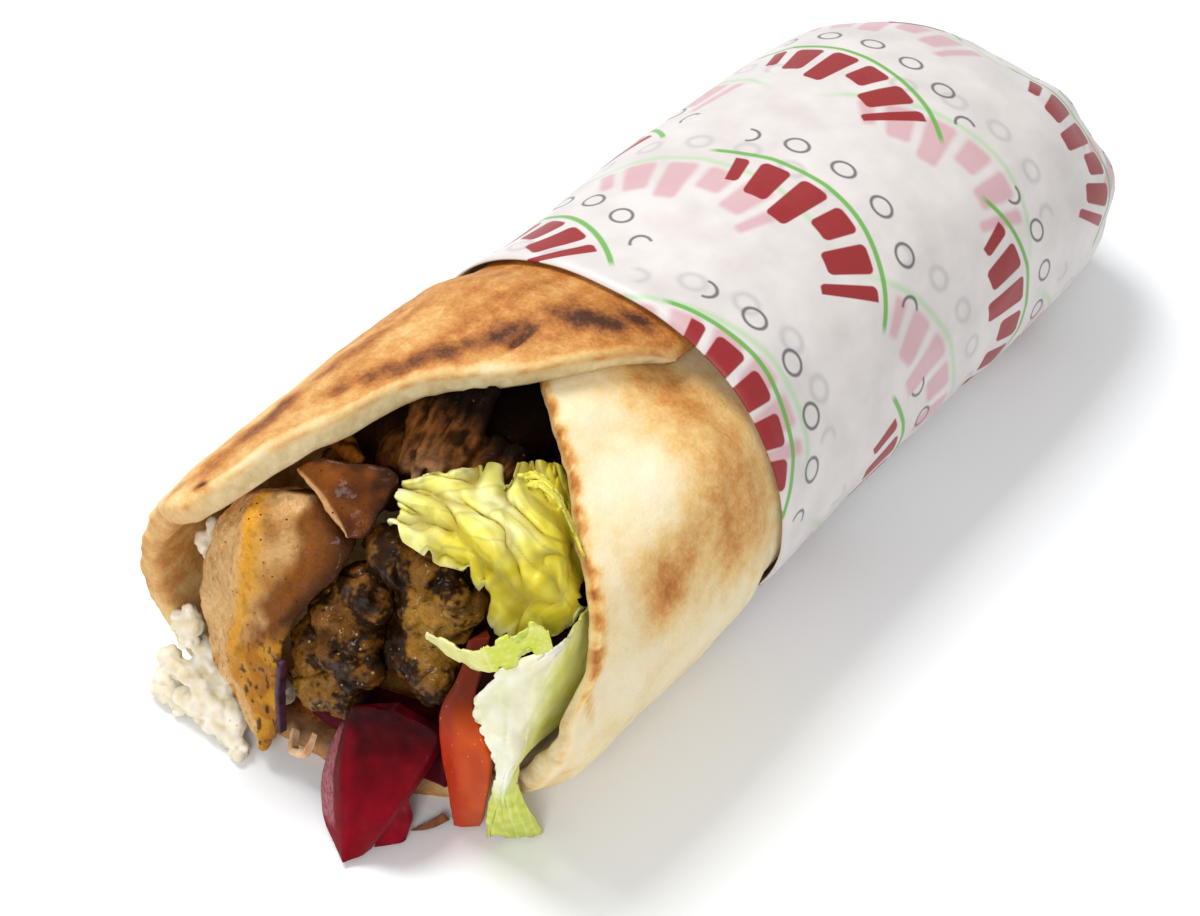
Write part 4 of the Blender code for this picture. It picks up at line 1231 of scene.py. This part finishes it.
# %% The leaves
leaf("lettuce_leaf_1", [
    [(-3, 13, 55), (4, 11, 56), (10, 11, 55.5), (15.5, 12, 56), (17.5, 13, 48), (21.5, 13, 43.5),
     (26.5, 15, 44.5), (30.5, 18, 47), (32, 22, 49)],
    [(-2, 14, 58), (4, 12.5, 61), (11, 12, 62.5), (17.5, 12, 63.5), (23.5, 11, 62), (28, 12, 60.5),
     (31.5, 15, 59.5), (32, 18, 57), (30.5, 24, 50.5)],
    [(-3, 17, 59), (3.5, 16, 62.5), (10.5, 15, 65), (17.5, 14, 66), (22.5, 15, 66), (26, 17, 64),
     (28, 21, 61), (27, 25, 55), (27, 28, 52)],
    [(-5, 20, 57.5), (1, 20, 62), (6.5, 21, 63.5), (10.5, 22, 63), (15, 23, 63), (18.5, 25, 62),
     (21.5, 28, 60), (21.5, 31, 56.5), (22.5, 33, 54)],
    [(-6.5, 22, 55), (-2, 23, 59), (3.5, 25, 62), (5.5, 29, 62), (9, 32, 61.5), (10.5, 35, 61),
     (13, 37, 60.5), (15, 38, 59.5), (19, 37, 56)],
], 200, 80, 0.9, 9, yellow_tint, lettuce, "yellow_lettuce", "lettuce_leaf_yellow", ragged=2.4,
    vein_hex="#8C8640")
leaf("lettuce_leaf_1_fold", [
    [(13.5, 28, 65), (16.5, 29, 67), (21, 29, 65.5), (24.5, 28, 62), (28, 27, 57.5)],
    [(18, 26, 66), (21, 26, 67.5), (24.5, 26, 66), (27, 25.5, 63), (30, 25, 58.5)],
], 70, 16, 0.3, 4, fold_tint, lettuce, "yellow_lettuce")
leaf("lettuce_leaf_2", [
    [(34.6, 12, 50), (34.8, 14, 51), (34, 18, 51), (32, 24, 49)],
    [(29, 5, 48.5), (33.8, 9, 49.5), (34.4, 15, 48), (32.8, 25, 44)],
    [(25.5, 1, 40), (31, 5, 43), (34.6, 12, 41), (34, 24, 37)],
    [(28, 0, 35.5), (32, 3, 37), (33.8, 9, 34.5), (33.6, 20, 32.5)],
    [(30.5, -0.5, 31.5), (33, 2, 32.5), (33, 7, 31), (32.4, 14, 27)],
    [(30.5, 0, 24.5), (32, 0.5, 24.5), (32.6, 2, 25.5), (32, 5, 27)],
    [(28, 1, 15.5), (30, 1.5, 16), (31.5, 2.5, 16.5), (32.4, 4, 18)],
    [(25, 2.5, 1), (28, 5, 1), (31, 7.5, 1), (32.5, 10, 1)],
], 56, 140, 0.25, 3, pale_tint, lettuce, "pale_lettuce", "lettuce_leaf_pale", ragged=1.2, fold_hex="#AEBE3C")
leaf("lettuce_shred_1", [
    [(13, 4, 45), (19, 3, 45.8), (25.5, 3, 47), (29.8, 5, 48.5), (33, 8, 51.5), (35, 10.5, 52)],
    [(12.5, 4, 46.5), (18, 3, 49.2), (24, 2.5, 51), (28.6, 4, 55.5), (32.5, 7, 60), (35, 10, 57)],
], 100, 18, 0.0, 3, shred_tint, lettuce, "pale_lettuce", "lettuce_shred", ragged=1.0)

# %% [markdown]
# Tomato and beetroot are cut with a knife, so they have smooth, wet sides and clear edges. Light goes a little
# way into them before it comes out. The beetroot's left edge was cut across, and is paler and grainy.

# %% The tomato wedge
tomato_flesh = moist_food("tomato_flesh", "#E08A4A", 0.3, 0.08, 1.6, 0.05, coat=0.08, roughness=0.42,
                          subsurface=0.06, depth=1.5, contrast=0.12, gloss=0.15)


def tomato_tint(side, share, point):
    """Orange red on its left face, more orange on its right face, darker towards the top."""
    left = blend("#BC3204", "#9C2A08", share)
    right = blend("#CC5010", "#B43E08", patches(point, 4.0))
    colour = blend(left, right, eased((side - 0.8) / 0.6))
    return blend(colour, "#6A220A", eased((share - 0.4) / 0.35))


tomato = cut_food([
    [(18.7, 0.8, 1.1), (20.6, 1.4, 1.1), (23.2, 3.7, 1.1), (20.7, 6.4, 1.1)],
    [(18.6, 0, 10.7), (21.7, 0, 12.7), (28.1, 1, 17.4), (23.5, 6, 15.1)],
    [(17.8, 0, 20), (21.8, -0.5, 23.7), (29, 1, 28.2), (23.9, 6.5, 23.8)],
    [(16.6, 1, 26.4), (20.2, 1, 29.1), (26, 2, 31.7), (21.1, 7.5, 28.8)],
    [(16.3, 2.5, 31.2), (19.2, 2.5, 34.1), (22.8, 4, 34.6), (20.1, 8, 34.3)],
    [(18.1, 5, 37.6), (19.8, 5, 39.6), (22.7, 7, 41.4), (19.6, 10.5, 39.3)],
    [(18.4, 8, 44.4), (19.5, 8, 45.6), (22.4, 9.5, 46.6), (19.1, 12.4, 44.4)],
], 64, 14, tomato_tint, cut=0.2, bulge=0.4)
roughen(tomato, (9.0, 0.4), (3.0, 0.1), seed=2.0)
piece("tomato_wedge_1", tomato, tomato_flesh, "tomato", "tomato_wedge")

# %% The slices of beetroot
beet_flesh = moist_food("pickled_beetroot", "#C9788C", 0.22, 0.0, 1.0, 0.06, coat=0.06, roughness=0.5,
                        subsurface=0.03, depth=0.8, contrast=0.2, gloss=0.08)


def beet_tint(side, share, point):
    """Deep red, nearly black at the top, with a painted highlight along its ridge and a paler grainy edge on
    its left side.
    """
    colour = blend("#300106", "#780614", eased(share * 1.1) + 0.3 * (patches(point, 3.0) - 0.5))
    from_ridge = (side + 2) % 4 - 2
    ridge = math.exp(-((from_ridge - 0.06) / 0.08) ** 2)
    # Painted highlight: a lighter red along the ridge
    colour = blend(colour, "#900A1E", 0.4 * ridge * eased((share - 0.15) / 0.2))
    edge = eased((-0.28 - from_ridge) / 0.12) * eased((from_ridge + 1.15) / 0.15)
    pale = blend("#7A2434", "#B8747C", patches(point, 0.5, 3.0) * 1.2)
    return blend(colour, pale, edge * eased((share - 0.12) / 0.12) * eased((0.85 - share) / 0.12) * 0.9)


beet_front = cut_food([
    [(1, -3.5, 25), (8, -1, 27), (8, 1.5, 27), (-1.6, -1.5, 21)],
    [(0.3, -5, 21), (15, 2, 23.4), (15, 4.4, 22.4), (-4.6, -2.5, 14.4)],
    [(1.5, -8, 15.2), (15, 0.4, 18.6), (15, 3.6, 18.4), (-5.6, -6.2, 5.6)],
    [(4.4, -11.5, 9.7), (15.4, -5.4, 15.6), (15.4, -2, 15), (-3.4, -10, 2.6)],
    [(6.6, -14.2, 5.7), (14.4, -10.4, 11), (14.4, -7.4, 10), (-0.4, -12.6, 1.2)],
    [(9, -17.5, 1.3), (10.8, -14, 1.5), (11, -12, 1.4), (4.8, -15.1, 1.2)],
], 110, 16, beet_tint, cut=0.09, bulge=0.4)
roughen(beet_front, (7.0, 0.5), (2.0, 0.08), seed=6.0)
piece("beetroot_slice_1", beet_front, beet_flesh, "beetroot", "beetroot_slice_front")
beet_lobe = cut_food([
    [(12, -9, 12), (15, -7.5, 13.5), (15, -5.5, 13), (12, -7, 11.6)],
    [(10.8, -9.8, 5), (14.1, -5.4, 6), (13.6, -3.4, 5.4), (10.4, -7.7, 4.4)],
    [(11, -11.9, 1.3), (14.4, -7.3, 1.3), (13.4, -4.6, 1.3), (10.4, -9.6, 1.3)],
], 48, 14, lambda side, share, point: blend("#6A0614", "#A00D22", patches(point, 3.0)), bulge=0.3)
roughen(beet_lobe, (4.0, 0.4), seed=7.0)
piece("beetroot_slice_1_lobe", beet_lobe, beet_flesh, "beetroot")
beet_back = cut_food([
    [(-13.5, 0, 8), (-13.5, 0, 12.5), (-12, 8, 12.5), (-12, 8, 8)],
    [(0, 0.5, 7), (0, 2, 13), (0, 12, 13), (0, 12, 7)],
    [(15.5, 2.5, 6.5), (15.5, 3, 16), (15.5, 12, 16), (15.5, 12, 6.5)],
], 56, 24, lambda side, share, point: blend("#3E0512", "#5E0A1C", patches(point, 4.0)), bulge=0.8)
roughen(beet_back, (6.0, 0.4), seed=4.0)
piece("beetroot_slice_2", beet_back, beet_flesh, "beetroot", "beetroot_slice_back")

# %% [markdown]
# Last come three small pieces in front of the meat: a strip of red onion, a curl of pale pickled onion and a
# sliver of fried crust. They are thin, so a narrow outline and a little noise are enough.

# %% The small pieces
red_onion = moist_food("red_onion_skin", "#5A2A48", 0.3, 0.1, 0.8, 0.05, contrast=0.15)
pale_onion = moist_food("pickled_pale_onion", "#E8B48A", 0.3, 0.1, 0.8, 0.05, subsurface=0.2)
fried = moist_food("fried_crust", "#3A1C0A", 0.3, 0.3, 0.6, 0.2)
small_pieces = (
    ("onion_strip_1", "onion_strip", "red_onion", red_onion, "#1C0810", "#4A2038", [
        [(-13, -7.2, 30), (-11.8, -7.2, 30), (-11.8, -5.4, 30), (-13, -5.4, 30)],
        [(-13.8, -8, 21), (-12.6, -8.4, 21), (-12.2, -6.6, 21), (-13.4, -6.2, 21)],
        [(-14.6, -8, 11), (-13.4, -8.2, 11), (-13.2, -6.6, 11), (-14.2, -6.4, 11)],
    ]),
    ("onion_curl_1", "onion_curl", "pale_onion", pale_onion, "#DDA878", "#F2D0A8", [
        [(-14, -4.6, 9.2), (-14, -5.6, 8.2), (-13.2, -4.4, 6.6), (-13.2, -3.6, 7.6)],
        [(-12, -7.2, 7.8), (-12, -8.2, 6.8), (-11.2, -7, 5.2), (-11.2, -6, 6.2)],
        [(-8.6, -7, 10.2), (-8.6, -8, 9.2), (-8, -7, 7.6), (-8, -6, 8.6)],
        [(-8.4, -5, 12.4), (-8.4, -5.8, 11.4), (-7.8, -5, 10.4), (-7.8, -4.4, 11.4)],
    ]),
    ("crisp_sliver_1", "crisp_sliver", "crisp", fried, "#5A3014", "#8E5226", [
        [(13.6, -4.4, 1.2), (14.1, -4.2, 1.1), (14.1, -4.1, 0.7), (13.6, -4.3, 0.7)],
        [(15.2, -2.4, 2.4), (16.6, -2.0, 1.6), (16.4, -1.6, 0.8), (15, -2.0, 1.6)],
        [(16.6, 0.6, 3.2), (18, 0.8, 2.2), (17.8, 1.2, 1.4), (16.4, 1.0, 2.4)],
    ]),
)
for name, node, slot, surface, dark, light, loops in small_pieces:
    def mottled(side, share, point):
        return blend(dark, light, patches(point, 1.5))

    bm = cut_food(loops, 24, 14, mottled, bulge=0.2, cap=4)
    roughen(bm, (1.5, 0.12))
    piece(name, bm, surface, slot, node)
